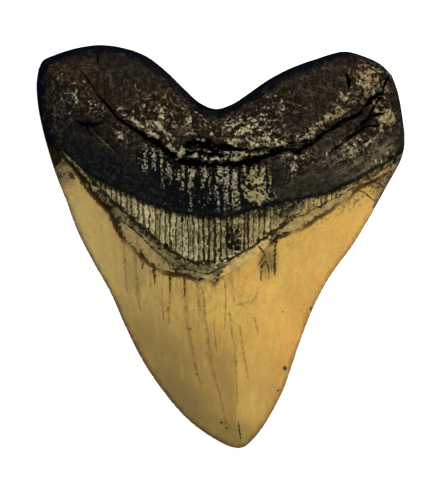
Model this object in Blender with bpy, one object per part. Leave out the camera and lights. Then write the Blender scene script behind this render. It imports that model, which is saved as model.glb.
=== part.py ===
"""A fossil megalodon tooth, one solid, lying on its flat labial face.

The row frame: +X to the right, +Y from the tip towards the root, +Z up, origin under the middle of the
bounding box. All lengths below are millimetres until the mesh is written, in metres.

The tooth is two skins that share one outline. Each skin is a stack of rows that run from the left border
to the right one. A row has a level from 0 to 5, and at each whole level it lies on a curve of the real
tooth: the root's outline, the root's main crack, the root's lower lip, the lower edge of the bourlette (the
band between root and crown), the upper edge of the enamel, and the tip.
"""

import bmesh
import bpy
import numpy as np
from mathutils import Vector, noise

METRES = 0.001

# Driving dimensions
HEIGHT = 130.0  # tip to the top of the left lobe
WIDTH = 118.6  # across the root
CREST = 26.4  # highest point of the root, above the flat face
LOBE_CREST = 15.5  # the same at the ends of the lobes
CREST_FALL = 1.25  # how steeply the crest falls towards the lobes
BLADE_FULLNESS = 2.0  # how full the crown's section is, at the blade and at the shoulders
SHOULDER_FULLNESS = 3.5
ROOT_RIM = 7.4  # height of the outline around the root
CROWN_RIM = 3.4  # height of the cutting edges
TIP_TOP = 3.5  # height of the very tip
CROWN_TOP = 22.8  # middle of the crown side at the root's lip
ROOT_ROUNDING = 15.0  # how far in from the outline the root's face turns over
LABIAL_ROUNDING = 9.0  # the same on the labial face
LIP_DROP = 0.1  # how much lower the root is at its lip than at its crest, as a share
LIP_REACH = 16.0  # how far from the lip that drop begins
CRACK_DEPTH = 2.0
RIDGE_HEIGHT = 0.5  # upright ridges on the bourlette
RIDGE_REACH = 0.68  # how far out the ridges go, as a share of the half width
DENTINE_STEP = 0.35  # the bourlette's lower edge stands above the dentine
ENAMEL_STEP = 0.6  # the enamel's edge stands above the dentine
LUMP_HEIGHT = 0.75  # root lumps, up or down
LUMP_SIZE = 9.0
LABIAL_HOLLOW = 1.5  # the labial face is hollow between its crown and the lobes
LABIAL_STEP = 0.5  # labial enamel above the labial root
TIP_LIFT = 2.1  # the tip bends up from the flat face by this much

# Levels of the whole-numbered rows
ROOT_TOP, CRACK, LIP, BOURLETTE, ENAMEL, TIP = range(6)

# Points on the tooth's outline and lines, from the left to the right or from the root to the tip
ROOT_OUTLINE = [
    (-58.7, 57.2), (-57.2, 60.0), (-53.5, 61.8), (-46.4, 64.0), (-38.9, 65.0), (-31.1, 64.0), (-24.0, 61.4),
    (-17.2, 56.2), (-12.0, 51.1), (-6.6, 46.3), (-1.6, 44.4), (3.8, 46.0), (9.6, 49.8), (15.2, 53.7),
    (22.4, 57.5), (31.0, 60.6), (39.8, 62.9), (46.0, 61.4), (51.5, 58.8), (55.1, 55.3),
]
LEFT_BORDER = [
    (-58.7, 57.2), (-59.3, 52.4), (-58.9, 45.9), (-57.7, 39.4), (-55.9, 32.3), (-53.2, 24.6), (-49.9, 16.0),
    (-45.4, 4.4), (-40.5, -4.6), (-34.4, -15.1), (-29.5, -26.7), (-23.3, -38.4), (-14.6, -50.1), (-6.2, -58.0),
    (1.0, -62.6), (6.2, -65.0),
]
RIGHT_BORDER = [
    (55.1, 55.3), (57.0, 50.0), (58.5, 42.0), (59.3, 33.6), (57.3, 27.7), (53.5, 19.9), (48.6, 10.0),
    (43.1, 0.5), (36.0, -9.2), (30.5, -19.0), (26.4, -29.0), (23.0, -38.4), (20.4, -46.2), (16.2, -54.0),
    (12.4, -59.8), (9.6, -63.2), (6.2, -65.0),
]
MAIN_CRACK = [
    (-59.2, 53.4), (-52.8, 57.0), (-46.6, 57.0), (-42.0, 52.8), (-38.4, 49.0), (-35.8, 43.6), (-31.5, 39.7),
    (-24.0, 34.9), (-16.2, 30.3), (-11.3, 26.9), (-5.0, 25.8), (4.0, 26.2), (10.5, 27.6), (17.0, 30.2),
    (24.3, 30.4), (30.2, 33.6), (36.0, 38.1), (42.1, 41.4), (47.3, 46.4), (51.6, 49.4), (57.0, 50.0),
]
ROOT_LIP = [
    (-55.9, 32.3), (-50.6, 30.4), (-46.0, 25.6), (-37.6, 20.3), (-27.3, 15.7), (-17.0, 11.4), (-6.6, 9.6),
    (4.5, 9.9), (11.7, 12.2), (22.2, 14.4), (36.3, 17.7), (48.1, 24.0), (58.6, 30.4),
]
BOURLETTE_EDGE = [
    (-55.2, 30.3), (-51.4, 29.6), (-44.1, 22.6), (-35.2, 15.2), (-26.9, 7.8), (-18.6, 0.8), (-10.8, -4.2),
    (-4.5, -5.0), (3.6, -3.4), (12.0, 1.2), (21.1, 7.6), (29.8, 12.5), (42.1, 19.0), (53.2, 26.1), (57.9, 28.8),
]
ENAMEL_EDGE = [
    (-53.2, 24.6), (-48.6, 25.4), (-42.6, 18.6), (-35.4, 10.4), (-31.6, 3.4), (-24.4, -4.1), (-16.9, -8.7),
    (-7.9, -9.6), (-2.2, -11.8), (6.0, -9.2), (13.0, -3.2), (19.3, 2.3), (31.4, 9.7), (40.2, 16.7),
    (48.0, 20.8), (53.5, 19.9),
]
LABIAL_ROOT_LINE = [
    (-59.2, 53.4), (-44.0, 47.0), (-24.0, 38.5), (0.0, 33.0), (24.0, 38.0), (44.0, 45.0), (57.0, 50.0),
]
LABIAL_ENAMEL_EDGE = [
    (-55.9, 32.3), (-44.0, 30.0), (-28.0, 26.5), (-12.0, 23.6), (2.0, 22.8), (16.0, 23.6), (32.0, 26.0),
    (46.0, 28.4), (58.6, 30.4),
]
LABIAL_FACE_LINE = [(-55.2, 30.3), (-28.0, 20.0), (2.0, 15.0), (32.0, 19.0), (57.9, 28.8)]
LABIAL_CROWN_LINE = [(-53.2, 24.6), (-28.0, 6.0), (2.0, 0.0), (32.0, 4.0), (53.5, 19.9)]
TIP_POINT = [LEFT_BORDER[-1]] * 2
TIP_Y = TIP_POINT[0][1]
LIP_Y = 9.8  # the lip's lowest stretch

LINGUAL_LINES = [ROOT_OUTLINE, MAIN_CRACK, ROOT_LIP, BOURLETTE_EDGE, ENAMEL_EDGE, TIP_POINT]
LABIAL_LINES = [ROOT_OUTLINE, LABIAL_ROOT_LINE, LABIAL_ENAMEL_EDGE, LABIAL_FACE_LINE, LABIAL_CROWN_LINE, TIP_POINT]

# Pits in the root: x, y, radius, depth
ROOT_PITS = [
    (-8.2, 32.0, 3.4, 1.7), (3.4, 30.6, 2.4, 0.9), (-43.0, 39.4, 3.2, 1.3), (-37.6, 35.2, 2.2, 0.8),
    (41.2, 52.6, 1.9, 1.1), (45.6, 39.0, 2.6, 0.9), (-50.4, 53.0, 2.2, 0.7), (12.0, 40.5, 2.6, 0.6),
    (-21.0, 49.5, 2.4, 0.6), (28.6, 50.4, 2.8, 0.6), (-28.0, 25.8, 2.6, 0.6), (33.5, 25.6, 2.4, 0.6),
]

# Rows of both skins: level, and how many columns the lingual skin has there
ROOT_COLUMNS = 96
RIDGE_COLUMNS = 144
ROOT_ROWS = [0.0, 0.05, 0.13, 0.25, 0.42, 0.6, 0.78, 0.93, 1.0, 1.07, 1.22, 1.42, 1.64, 1.84, 1.965]
RIDGE_ROWS = [2.0, 2.12, 2.5, 2.86, 2.985]
DENTINE_ROWS = [3.0, 3.5, 3.93]
CROWN_ROWS = [
    (4.0, 96), (4.04, 96), (4.1, 72), (4.18, 64), (4.27, 56), (4.36, 48), (4.45, 44), (4.54, 40), (4.63, 36),
    (4.72, 32), (4.8, 28), (4.87, 24), (4.925, 20), (4.96, 16), (4.982, 10), (4.994, 6),
]
LABIAL_COLUMNS = 30
LABIAL_TIP_COLUMNS = 4
SHARP_DEGREES = 40.0

# Linear colour and roughness of each finish
FINISH_VALUES = {
    "root": ((0.035, 0.026, 0.017), 0.62),
    "bourlette": ((0.13, 0.10, 0.055), 0.45),
    "enamel": ((0.60, 0.36, 0.12), 0.32),
}
FINISHES = list(FINISH_VALUES)


def smooth_curve(points, count=400):
    """Points evenly spaced along a smooth curve through the given ones."""
    knots = np.array(points, float)
    if np.ptp(knots, axis=0).max() < 1e-9:
        return np.repeat(knots[:1], count, axis=0)
    before = 2 * knots[0] - knots[1]
    after = 2 * knots[-1] - knots[-2]
    knots = np.vstack([before, knots, after])
    gaps = np.sqrt(np.linalg.norm(np.diff(knots, axis=0), axis=1))
    times = np.concatenate([[0.0], np.cumsum(gaps)])
    parts = []
    for i in range(1, len(knots) - 2):
        p0, p1, p2, p3 = knots[i - 1 : i + 3]
        t0, t1, t2, t3 = times[i - 1 : i + 3]
        t = np.linspace(t1, t2, 24, endpoint=False)[:, None]
        a1 = (t1 - t) / (t1 - t0) * p0 + (t - t0) / (t1 - t0) * p1
        a2 = (t2 - t) / (t2 - t1) * p1 + (t - t1) / (t2 - t1) * p2
        a3 = (t3 - t) / (t3 - t2) * p2 + (t - t2) / (t3 - t2) * p3
        b1 = (t2 - t) / (t2 - t0) * a1 + (t - t0) / (t2 - t0) * a2
        b2 = (t3 - t) / (t3 - t1) * a2 + (t - t1) / (t3 - t1) * a3
        parts.append((t2 - t) / (t2 - t1) * b1 + (t - t1) / (t2 - t1) * b2)
    parts.append(knots[-2:-1])
    line = np.vstack(parts)
    return along(line, np.linspace(0.0, 1.0, count))


def lengths(line):
    """Distance along the line to each of its points, as a share of the whole."""
    steps = np.linalg.norm(np.diff(line, axis=0), axis=1)
    total = np.concatenate([[0.0], np.cumsum(steps)])
    return total / max(total[-1], 1e-9)


def along(line, shares):
    """The points at the given shares of the line's length."""
    place = lengths(line)
    return np.column_stack([np.interp(shares, place, line[:, axis]) for axis in (0, 1)])


def smooth_step(value, low, high):
    share = np.clip((value - low) / (high - low), 0.0, 1.0)
    return share * share * (3.0 - 2.0 * share)


def distance_to(line, points):
    """How far each point is from the line."""
    step = np.diff(line, axis=0)
    length = np.maximum((step * step).sum(axis=1), 1e-12)
    found = []
    for point in points:
        share = ((point - line[:-1]) * step).sum(axis=1) / length
        nearest = line[:-1] + np.clip(share, 0.0, 1.0)[:, None] * step
        found.append(np.linalg.norm(nearest - point, axis=1).min())
    return np.array(found)


class Outline:
    """The root's outline and the two borders, which the ends of the lingual lines divide into levels."""

    def __init__(self):
        root = smooth_curve(ROOT_OUTLINE)
        self.left = smooth_curve(LEFT_BORDER)
        self.right = smooth_curve(RIGHT_BORDER)
        self.loop = np.vstack([root, self.right[1:], self.left[-2::-1]])
        self.lip = smooth_curve(ROOT_LIP)
        self.left_marks = self.marks(self.left, [line[0] for line in LINGUAL_LINES])
        self.right_marks = self.marks(self.right, [line[-1] for line in LINGUAL_LINES])

    @staticmethod
    def marks(border, ends):
        """Where each line meets the border, as a share of the border's length."""
        place = lengths(border)
        return [place[np.linalg.norm(border - np.array(end), axis=1).argmin()] for end in ends]

    def ends(self, level):
        levels = range(len(LINGUAL_LINES))
        left = along(self.left, [np.interp(level, levels, self.left_marks)])
        right = along(self.right, [np.interp(level, levels, self.right_marks)])
        return left[0], right[0]

    def across(self, points):
        """Where each point is between the two borders at its own height: -1 to 1."""
        left = np.interp(-points[:, 1], -self.left[:, 1], self.left[:, 0])
        right = np.interp(-points[:, 1], -self.right[:, 1], self.right[:, 0])
        share = 2.0 * (points[:, 0] - left) / np.maximum(right - left, 1e-9) - 1.0
        return np.clip(share, -1.0, 1.0)


def row_points(outline, curves, level, across):
    """The row at this level, at the given shares of its length, with its ends on the outline."""
    band = min(int(level), TIP - 1)
    share = level - band
    upper = along(curves[band], across)
    lower = along(curves[band + 1], across)
    row = upper * (1.0 - share) + lower * share
    left, right = outline.ends(level)
    return row + np.outer(1.0 - across, left - row[0]) + np.outer(across, right - row[-1])


def turned_over(distance, reach):
    """A quarter ellipse: 0 on the outline, 1 from the reach inwards."""
    inward = np.clip(distance / reach, 0.0, 1.0)
    return np.sqrt(1.0 - (1.0 - inward) ** 2)


def rim_height(y):
    """Height of the outline: thin cutting edges, and a thick rim around the root."""
    return CROWN_RIM + (ROOT_RIM - CROWN_RIM) * smooth_step(y, 16.0, 40.0)


def lumps(points):
    """Root lumps at two sizes."""
    found = []
    for x, y in points:
        large = noise.noise(Vector((x, y, 3.0)) / LUMP_SIZE)
        small = noise.noise(Vector((x, y, 41.0)) / LUMP_SIZE * 2.2)
        found.append(LUMP_HEIGHT * (large + 0.45 * small))
    return np.array(found)


def pits(points):
    depth = np.zeros(len(points))
    for x, y, radius, deep in ROOT_PITS:
        away = np.hypot(points[:, 0] - x, points[:, 1] - y) / radius
        depth += deep * np.exp(-away * away)
    return depth


def root_height(outline, points):
    """The lingual face of the root: a swollen crest at the middle, lower on the lobes and at the lip."""
    x, y = points.T
    rim = rim_height(y)
    swelling = np.clip(1.0 - (2.0 * x / WIDTH) ** 2, 0.0, 1.0) ** CREST_FALL
    crest = LOBE_CREST + (CREST - LOBE_CREST) * swelling
    near_lip = np.clip(1.0 - distance_to(outline.lip, points) / LIP_REACH, 0.0, 1.0)
    turn = turned_over(distance_to(outline.loop, points), ROOT_ROUNDING)
    face = rim + (crest - rim) * (1.0 - LIP_DROP * near_lip**1.6) * turn
    return face + (lumps(points) * (1.0 - 0.6 * near_lip) - pits(points)) * turn


def crown_height(outline, points):
    """The lingual face of the crown and of the band above it: a lens between two cutting edges."""
    y = points[:, 1]
    rim = rim_height(y)
    rise = np.clip((y - TIP_Y) / (LIP_Y - TIP_Y), 0.0, None) ** 0.8
    middle = TIP_TOP + (CROWN_TOP - TIP_TOP) * rise
    fullness = BLADE_FULLNESS + (SHOULDER_FULLNESS - BLADE_FULLNESS) * smooth_step(y, -15.0, 32.0)
    lens = (1.0 - np.abs(outline.across(points)) ** fullness) ** 0.85
    return rim + (middle - rim) * lens


def lingual_height(outline, points, level):
    """The face that has the band between root and crown, with its steps, ridges and crack."""
    inward = distance_to(outline.loop, points)
    if level < LIP:
        groove = CRACK_DEPTH * smooth_step(inward, 2.0, 9.0) if level == CRACK else 0.0
        return root_height(outline, points) - groove
    inside = smooth_step(inward, 0.0, 5.0)
    height = crown_height(outline, points)
    if level < BOURLETTE:
        height += (DENTINE_STEP - ENAMEL_STEP) * inside
        if level in RIDGE_ROWS[1:-1]:
            across = np.linspace(-1.0, 1.0, len(points))
            alternate = np.arange(len(points)) % 2
            height += RIDGE_HEIGHT * alternate * smooth_step(RIDGE_REACH - np.abs(across), 0.0, 0.1)
    elif level < ENAMEL:
        height -= ENAMEL_STEP * inside
    return height


def labial_height(outline, points, level):
    """The flat face below: it touches the ground along the crown's middle and at both lobes."""
    x, y = points.T
    rim = rim_height(y)
    hollow = LABIAL_HOLLOW * smooth_step(y, -4.0, 26.0) * smooth_step(-np.abs(x), -36.0, -10.0)
    if level < LIP:
        turn = turned_over(distance_to(outline.loop, points), LABIAL_ROUNDING)
        step = LABIAL_STEP * smooth_step(-y, -46.0, -34.0)
        floor = np.maximum(0.0, hollow + 0.4 * lumps(points)) + step
    else:
        turn = np.clip(1.3 * (1.0 - outline.across(points) ** 2) ** 0.7, 0.0, 1.0)
        floor = hollow + TIP_LIFT * smooth_step(-y, 32.0, -TIP_Y)
    return floor * turn + rim * (1.0 - turn)


def join_rows(mesh, upper, lower, upward):
    """Faces between two rows of vertices, which may differ in number and share their ends."""
    faces = []
    i = j = 0
    while i < len(upper) - 1 or j < len(lower) - 1:
        step_upper = (i + 1) / max(len(upper) - 1, 1)
        step_lower = (j + 1) / max(len(lower) - 1, 1)
        both = i < len(upper) - 1 and j < len(lower) - 1
        if both and abs(step_upper - step_lower) < 1e-9:
            corners = [upper[i], lower[j], lower[j + 1], upper[i + 1]]
            i, j = i + 1, j + 1
        elif j == len(lower) - 1 or (i < len(upper) - 1 and step_upper < step_lower):
            corners = [upper[i], lower[j], upper[i + 1]]
            i += 1
        else:
            corners = [upper[i], lower[j], lower[j + 1]]
            j += 1
        corners = list(dict.fromkeys(corners))
        if len(corners) > 2:
            faces.append(mesh.faces.new(corners if upward else corners[::-1]))
    return faces


def evenly(columns):
    return np.linspace(0.0, 1.0, columns + 1)


def labial_shares(level):
    """Fewer columns than the lingual face has, and closer together at the ends, where the face turns over."""
    below_rim = smooth_step(level, ROOT_ROWS[1], 0.6)
    near_tip = smooth_step(level, 3.6, TIP)
    columns = ROOT_COLUMNS + (LABIAL_COLUMNS - ROOT_COLUMNS) * below_rim
    even = evenly(round(columns + (LABIAL_TIP_COLUMNS - columns) * near_tip))
    crowded = 0.5 - 0.5 * np.cos(np.pi * even)
    return even + (crowded - even) * below_rim


def build_mesh():
    outline = Outline()
    lingual_curves = [smooth_curve(line) for line in LINGUAL_LINES]
    labial_curves = [smooth_curve(line) for line in LABIAL_LINES]
    rows = [(level, ROOT_COLUMNS) for level in ROOT_ROWS]
    rows += [(level, RIDGE_COLUMNS) for level in RIDGE_ROWS]
    rows += [(level, ROOT_COLUMNS) for level in DENTINE_ROWS]
    rows += CROWN_ROWS

    low, high = outline.loop.min(axis=0), outline.loop.max(axis=0)
    middle = (low + high) / 2.0
    scale = np.array([WIDTH, HEIGHT]) / (high - low)
    mesh = bmesh.new()

    def place(points, heights):
        flat = (points - middle) * scale
        return [mesh.verts.new((x * METRES, y * METRES, z * METRES)) for (x, y), z in zip(flat, heights)]

    lingual, labial = [], []
    for level, columns in rows:
        points = row_points(outline, lingual_curves, level, evenly(columns))
        upper = place(points, lingual_height(outline, points, level))
        if level == ROOT_TOP:
            lower = upper
        else:
            points = row_points(outline, labial_curves, level, labial_shares(level))
            heights = labial_height(outline, points, level)
            lower = [upper[0], *place(points[1:-1], heights[1:-1]), upper[-1]]
        lingual.append(upper)
        labial.append(lower)
    tip = place(np.array([LEFT_BORDER[-1]]), [CROWN_RIM])
    levels = [level for level, _ in rows]
    for skin, lies_up in ((lingual, True), (labial, False)):
        for level, upper, lower in zip(levels, skin, [*skin[1:], tip]):
            finish = finish_at(level, lies_up)
            for face in join_rows(mesh, upper, lower, lies_up):
                face.material_index = finish
    bmesh.ops.recalc_face_normals(mesh, faces=mesh.faces)
    return mesh


def finish_at(level, is_lingual):
    """Which of the finishes the faces below this level have."""
    if level < ROOT_ROWS[-1]:
        return FINISHES.index("root")
    if is_lingual and level < DENTINE_ROWS[-1]:
        return FINISHES.index("bourlette")
    return FINISHES.index("enamel")


def make_material(name):
    colour, roughness = FINISH_VALUES[name]
    material = bpy.data.materials.new(name)
    material.use_nodes = True
    shader = material.node_tree.nodes["Principled BSDF"]
    shader.inputs["Base Color"].default_value = (*colour, 1.0)
    shader.inputs["Roughness"].default_value = roughness
    shader.inputs["Metallic"].default_value = 0.0
    return material


def main():
    for old in list(bpy.data.objects):
        bpy.data.objects.remove(old, do_unlink=True)
    mesh = build_mesh()
    data = bpy.data.meshes.new("tooth")
    mesh.to_mesh(data)
    mesh.free()
    for name in FINISHES:
        data.materials.append(make_material(name))
    data.shade_smooth()
    data.set_sharp_from_angle(angle=np.radians(SHARP_DEGREES))
    tooth = bpy.data.objects.new("tooth", data)
    bpy.context.scene.collection.objects.link(tooth)


main()
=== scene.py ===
import math

import bpy
import numpy as np
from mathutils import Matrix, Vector, kdtree, noise


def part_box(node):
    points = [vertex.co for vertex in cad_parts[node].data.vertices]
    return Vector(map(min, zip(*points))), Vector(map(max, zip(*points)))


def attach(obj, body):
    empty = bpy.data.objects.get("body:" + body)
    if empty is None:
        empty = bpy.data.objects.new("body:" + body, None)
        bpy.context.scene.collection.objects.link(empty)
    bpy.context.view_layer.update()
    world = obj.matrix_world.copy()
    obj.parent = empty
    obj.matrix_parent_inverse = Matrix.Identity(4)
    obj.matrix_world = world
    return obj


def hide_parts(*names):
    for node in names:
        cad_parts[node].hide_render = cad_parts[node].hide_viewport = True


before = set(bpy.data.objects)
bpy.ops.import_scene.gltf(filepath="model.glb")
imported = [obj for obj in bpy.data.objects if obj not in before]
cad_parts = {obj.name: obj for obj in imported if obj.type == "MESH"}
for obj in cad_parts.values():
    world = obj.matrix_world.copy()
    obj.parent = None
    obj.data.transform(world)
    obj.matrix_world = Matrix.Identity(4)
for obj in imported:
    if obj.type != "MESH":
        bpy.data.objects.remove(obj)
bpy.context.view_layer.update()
toothLow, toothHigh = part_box("tooth")
mm = 0.001
print("frame loaded")


# Adds nodes to a material or a group, with the sums and patterns that are used most
class Nodes:
    def __init__(self, tree):
        self.tree = tree
        self.count = 0

    def add(self, kind, inputs=None, **settings):
        node = self.tree.nodes.new(kind)
        node.location = (220 * (self.count // 6) - 2600, 180 * (self.count % 6) - 500)
        self.count += 1
        for name, value in settings.items():
            setattr(node, name, value)
        for key, value in (inputs or {}).items():
            self.feed(node.inputs[key], value)
        return node

    def feed(self, socket, value):
        if isinstance(value, bpy.types.NodeSocket):
            self.tree.links.new(value, socket)
        elif isinstance(value, (tuple, list)) and socket.type == "RGBA":
            socket.default_value = (*value, 1.0)
        else:
            socket.default_value = value

    def math(self, operation, a, b=0.0, c=0.0, clamp=False):
        return self.add("ShaderNodeMath", {0: a, 1: b, 2: c}, operation=operation, use_clamp=clamp).outputs[0]

    def times(self, first, *others):
        for other in others:
            first = self.math("MULTIPLY", first, other)
        return first

    def plus(self, a, factor, b):
        return self.math("MULTIPLY_ADD", a, factor, b)

    def greatest(self, first, *others):
        for other in others:
            first = self.math("MAXIMUM", first, other)
        return first

    def ramp(self, value, low, high, toLow=0.0, toHigh=1.0):
        node = self.add("ShaderNodeMapRange", {"Value": value, "From Min": low, "From Max": high,
                                               "To Min": toLow, "To Max": toHigh},
                        interpolation_type="SMOOTHSTEP")
        return node.outputs["Result"]

    def centred(self, value):
        return self.math("SUBTRACT", value, 0.5)

    def mix(self, share, a, b):
        return self.add("ShaderNodeMix", {0: share, 6: a, 7: b}, data_type="RGBA").outputs[2]

    # Lays a tone over a colour, as strongly as all its shares together allow
    def over(self, colour, tone, *shares):
        return self.mix(self.times(*shares), colour, tone)

    def noise(self, vector, scale, detail=2.0, roughness=0.5, distortion=0.0):
        node = self.add("ShaderNodeTexNoise", {"Vector": vector, "Scale": scale, "Detail": detail,
                                               "Roughness": roughness, "Distortion": distortion})
        return node.outputs["Fac"]

    def attribute(self, name):
        return self.add("ShaderNodeAttribute", attribute_name=name).outputs["Fac"]

    def attributes(self, names):
        return [self.attribute(name) for name in names.split()]

    def group(self, tree, vector, **inputs):
        node = self.add("ShaderNodeGroup", {"Vector": vector}, node_tree=tree)
        for name, value in inputs.items():
            self.feed(node.inputs[name], value)
        return node.outputs

    def apart(self, vector):
        return self.add("ShaderNodeSeparateXYZ", {0: vector}).outputs

    def shifted(self, vector, scale, amount):
        wave = self.add("ShaderNodeTexNoise", {"Vector": vector, "Scale": scale, "Detail": 2.0}).outputs["Color"]
        wave = self.add("ShaderNodeVectorMath", {0: wave, 1: (amount,) * 3}, operation="MULTIPLY").outputs[0]
        return self.add("ShaderNodeVectorMath", {0: vector, 1: wave}, operation="ADD").outputs[0]

    def stretched(self, vector, scale):
        return self.add("ShaderNodeVectorMath", {0: vector, 1: scale}, operation="MULTIPLY").outputs[0]

    # Draws a pattern out along y
    def tall(self, vector, share):
        return self.stretched(vector, (1.0, share, 1.0))


def newGroup(name, inputs, outputs):
    tree = bpy.data.node_groups.new(name, "ShaderNodeTree")
    for label, kind, value in inputs:
        socket = tree.interface.new_socket(label, in_out="INPUT", socket_type=kind)
        if value is not None:
            socket.default_value = value
    for label, kind in outputs:
        tree.interface.new_socket(label, in_out="OUTPUT", socket_type=kind)
    nodes = Nodes(tree)
    return tree, nodes, nodes.add("NodeGroupInput").outputs, nodes.add("NodeGroupOutput").inputs


floatSocket, vectorSocket = "NodeSocketFloat", "NodeSocketVector"

# Mask of a line of given half width, with ragged edges
raggedTree, n, given, out = newGroup("raggedLine", [
    ("Vector", vectorSocket, None), ("Side", floatSocket, 0.0), ("Away", floatSocket, 0.0),
    ("Width", floatSocket, 1.0), ("Soft", floatSocket, 0.3), ("Ragged", floatSocket, 0.5),
    ("Size", floatSocket, 1.0)], [("Mask", floatSocket)])
perSize = n.math("DIVIDE", 1.0, given["Size"])
wobble = n.centred(n.noise(given["Vector"], perSize, 3.0, 0.6))
shifted = n.plus(wobble, n.times(given["Ragged"], 4.0), given["Side"])
swell = n.centred(n.noise(given["Vector"], n.times(perSize, 0.7), 2.0))
swell = n.plus(swell, n.times(given["Width"], 2.6), given["Width"])
inner = n.math("SUBTRACT", swell, given["Soft"])
outer = n.math("ADD", swell, given["Soft"])
core = n.ramp(n.math("ABSOLUTE", shifted), inner, outer, 1.0, 0.0)
nearby = n.ramp(given["Away"], n.times(given["Width"], 3.0), n.times(given["Width"], 4.5), 1.0, 0.0)
n.feed(out["Mask"], n.times(core, nearby))

# Blotches of a given size that cover a given share
mottleTree, n, given, out = newGroup("mottling", [
    ("Vector", vectorSocket, None), ("Size", floatSocket, 1.0), ("Cover", floatSocket, 0.5),
    ("Soft", floatSocket, 0.05)], [("Mask", floatSocket), ("Tone", floatSocket)])
perSize = n.math("DIVIDE", 1.0, given["Size"])
coarse = n.noise(given["Vector"], perSize, 2.0, 0.62, 0.9)
fine = n.noise(given["Vector"], n.times(perSize, 1.8), 2.0, 0.55, 0.5)
both = n.plus(fine, 0.38, n.times(coarse, 0.62))
edge = n.math("SUBTRACT", 0.72, n.times(given["Cover"], 0.4))
n.feed(out["Mask"], n.ramp(both, n.math("SUBTRACT", edge, given["Soft"]), n.math("ADD", edge, given["Soft"])))
n.feed(out["Tone"], both)

# Slow change of tone
driftTree, n, given, out = newGroup("slowDrift", [
    ("Vector", vectorSocket, None), ("Size", floatSocket, 20.0)], [("Value", floatSocket)])
drift = n.noise(given["Vector"], n.math("DIVIDE", 1.0, given["Size"]), 3.0, 0.55, 0.4)
n.feed(out["Value"], n.ramp(drift, 0.35, 0.65))

# Fine grain for bump
gritTree, n, given, out = newGroup("grit", [
    ("Vector", vectorSocket, None), ("Size", floatSocket, 0.5), ("Pits", floatSocket, 0.5)],
    [("Height", floatSocket)])
perSize = n.math("DIVIDE", 1.0, given["Size"])
grain = n.noise(given["Vector"], perSize, 5.0, 0.65)
cells = n.add("ShaderNodeTexVoronoi", {"Vector": given["Vector"], "Scale": n.times(perSize, 0.6)})
holes = n.ramp(cells.outputs["Distance"], 0.12, 0.34, 1.0, 0.0)
n.feed(out["Height"], n.math("SUBTRACT", grain, n.times(holes, given["Pits"])))

# Small separate dots
dotTree, n, given, out = newGroup("dots", [
    ("Vector", vectorSocket, None), ("Size", floatSocket, 1.0), ("Reach", floatSocket, 0.2),
    ("Share", floatSocket, 0.3)], [("Mask", floatSocket)])
cells = n.add("ShaderNodeTexVoronoi", {"Vector": given["Vector"], "Scale": n.math("DIVIDE", 1.0, given["Size"])})
lot = n.add("ShaderNodeSeparateColor", {0: cells.outputs["Color"]}).outputs[0]
spot = n.ramp(cells.outputs["Distance"], n.times(given["Reach"], 0.4), given["Reach"], 1.0, 0.0)
n.feed(out["Mask"], n.times(spot, n.math("LESS_THAN", lot, given["Share"])))


def newMaterial(name):
    material = bpy.data.materials.new(name)
    material.use_nodes = True
    tree = material.node_tree
    shader = tree.nodes["Principled BSDF"]
    nodes = Nodes(tree)
    place = nodes.add("ShaderNodeTexCoord").outputs["Object"]
    vector = nodes.add("ShaderNodeVectorMath", {0: place, "Scale": 1000.0}, operation="SCALE").outputs[0]
    return material, shader, nodes, vector


def addBump(n, height, strength, distance):
    bump = n.add("ShaderNodeBump", {"Height": height, "Strength": strength, "Distance": distance * mm})
    return bump.outputs["Normal"]


# A line with ragged edges, from its kept side and distance
def lineMask(n, vector, name, width, soft, ragged, size):
    return n.group(raggedTree, vector, Side=n.attribute(name + "Side"), Away=n.attribute(name + "Away"),
                   Width=width, Soft=soft, Ragged=ragged, Size=size)["Mask"]


# The dark lines drawn on the piece, soft and broken
def markedLine(n, vector, soft, ragged):
    line = lineMask(n, vector, "ink", 1.15, soft, ragged, 1.3)
    return n.times(line, n.ramp(n.noise(vector, 0.9, 3.0, 0.6), 0.34, 0.52, 0.35, 1.0))


# Colours are linear, sizes are in millimetres
rootFinish = {
    "brown": (0.0152, 0.0118, 0.0084),
    "oliveBrown": (0.0140, 0.0126, 0.0078),
    "darkBrown": (0.0066, 0.0052, 0.0038),
    "soot": (0.0026, 0.0036, 0.0040),
    # painted shade along the root's rim and side walls
    "rim": (0.0008, 0.0012, 0.0042),
    "rust": (0.075, 0.030, 0.010),
    "cream": (0.390, 0.338, 0.206),
    "dullCream": (0.200, 0.168, 0.102),
    "paleBrown": (0.086, 0.068, 0.045),
    "lowOlive": (0.0340, 0.0315, 0.0190),
    "pit": (0.0078, 0.0050, 0.0028),
    "ash": (0.044, 0.046, 0.038),
    "plum": (0.036, 0.020, 0.015),
    "tan": (0.275, 0.205, 0.112),
    "dullTan": (0.130, 0.092, 0.046),
    "olive": (0.110, 0.085, 0.043),
    "bead": (0.262, 0.245, 0.162),
    "brightBead": (0.430, 0.380, 0.222),
    "olivePatch": (0.235, 0.200, 0.090),
    "patchLight": (0.315, 0.268, 0.128),
    "crack": (0.0004, 0.0004, 0.0010),
    "mottleSize": 2.0,
    "beadSize": 0.78,
    "columnsPerMm": 0.35,  # upright columns of beads
    "strokeTurn": -0.47,  # how the strokes along the lip are turned, in radians
    "roughness": (0.62, 0.9),  # of the pale and of the dark crust
}


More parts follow.
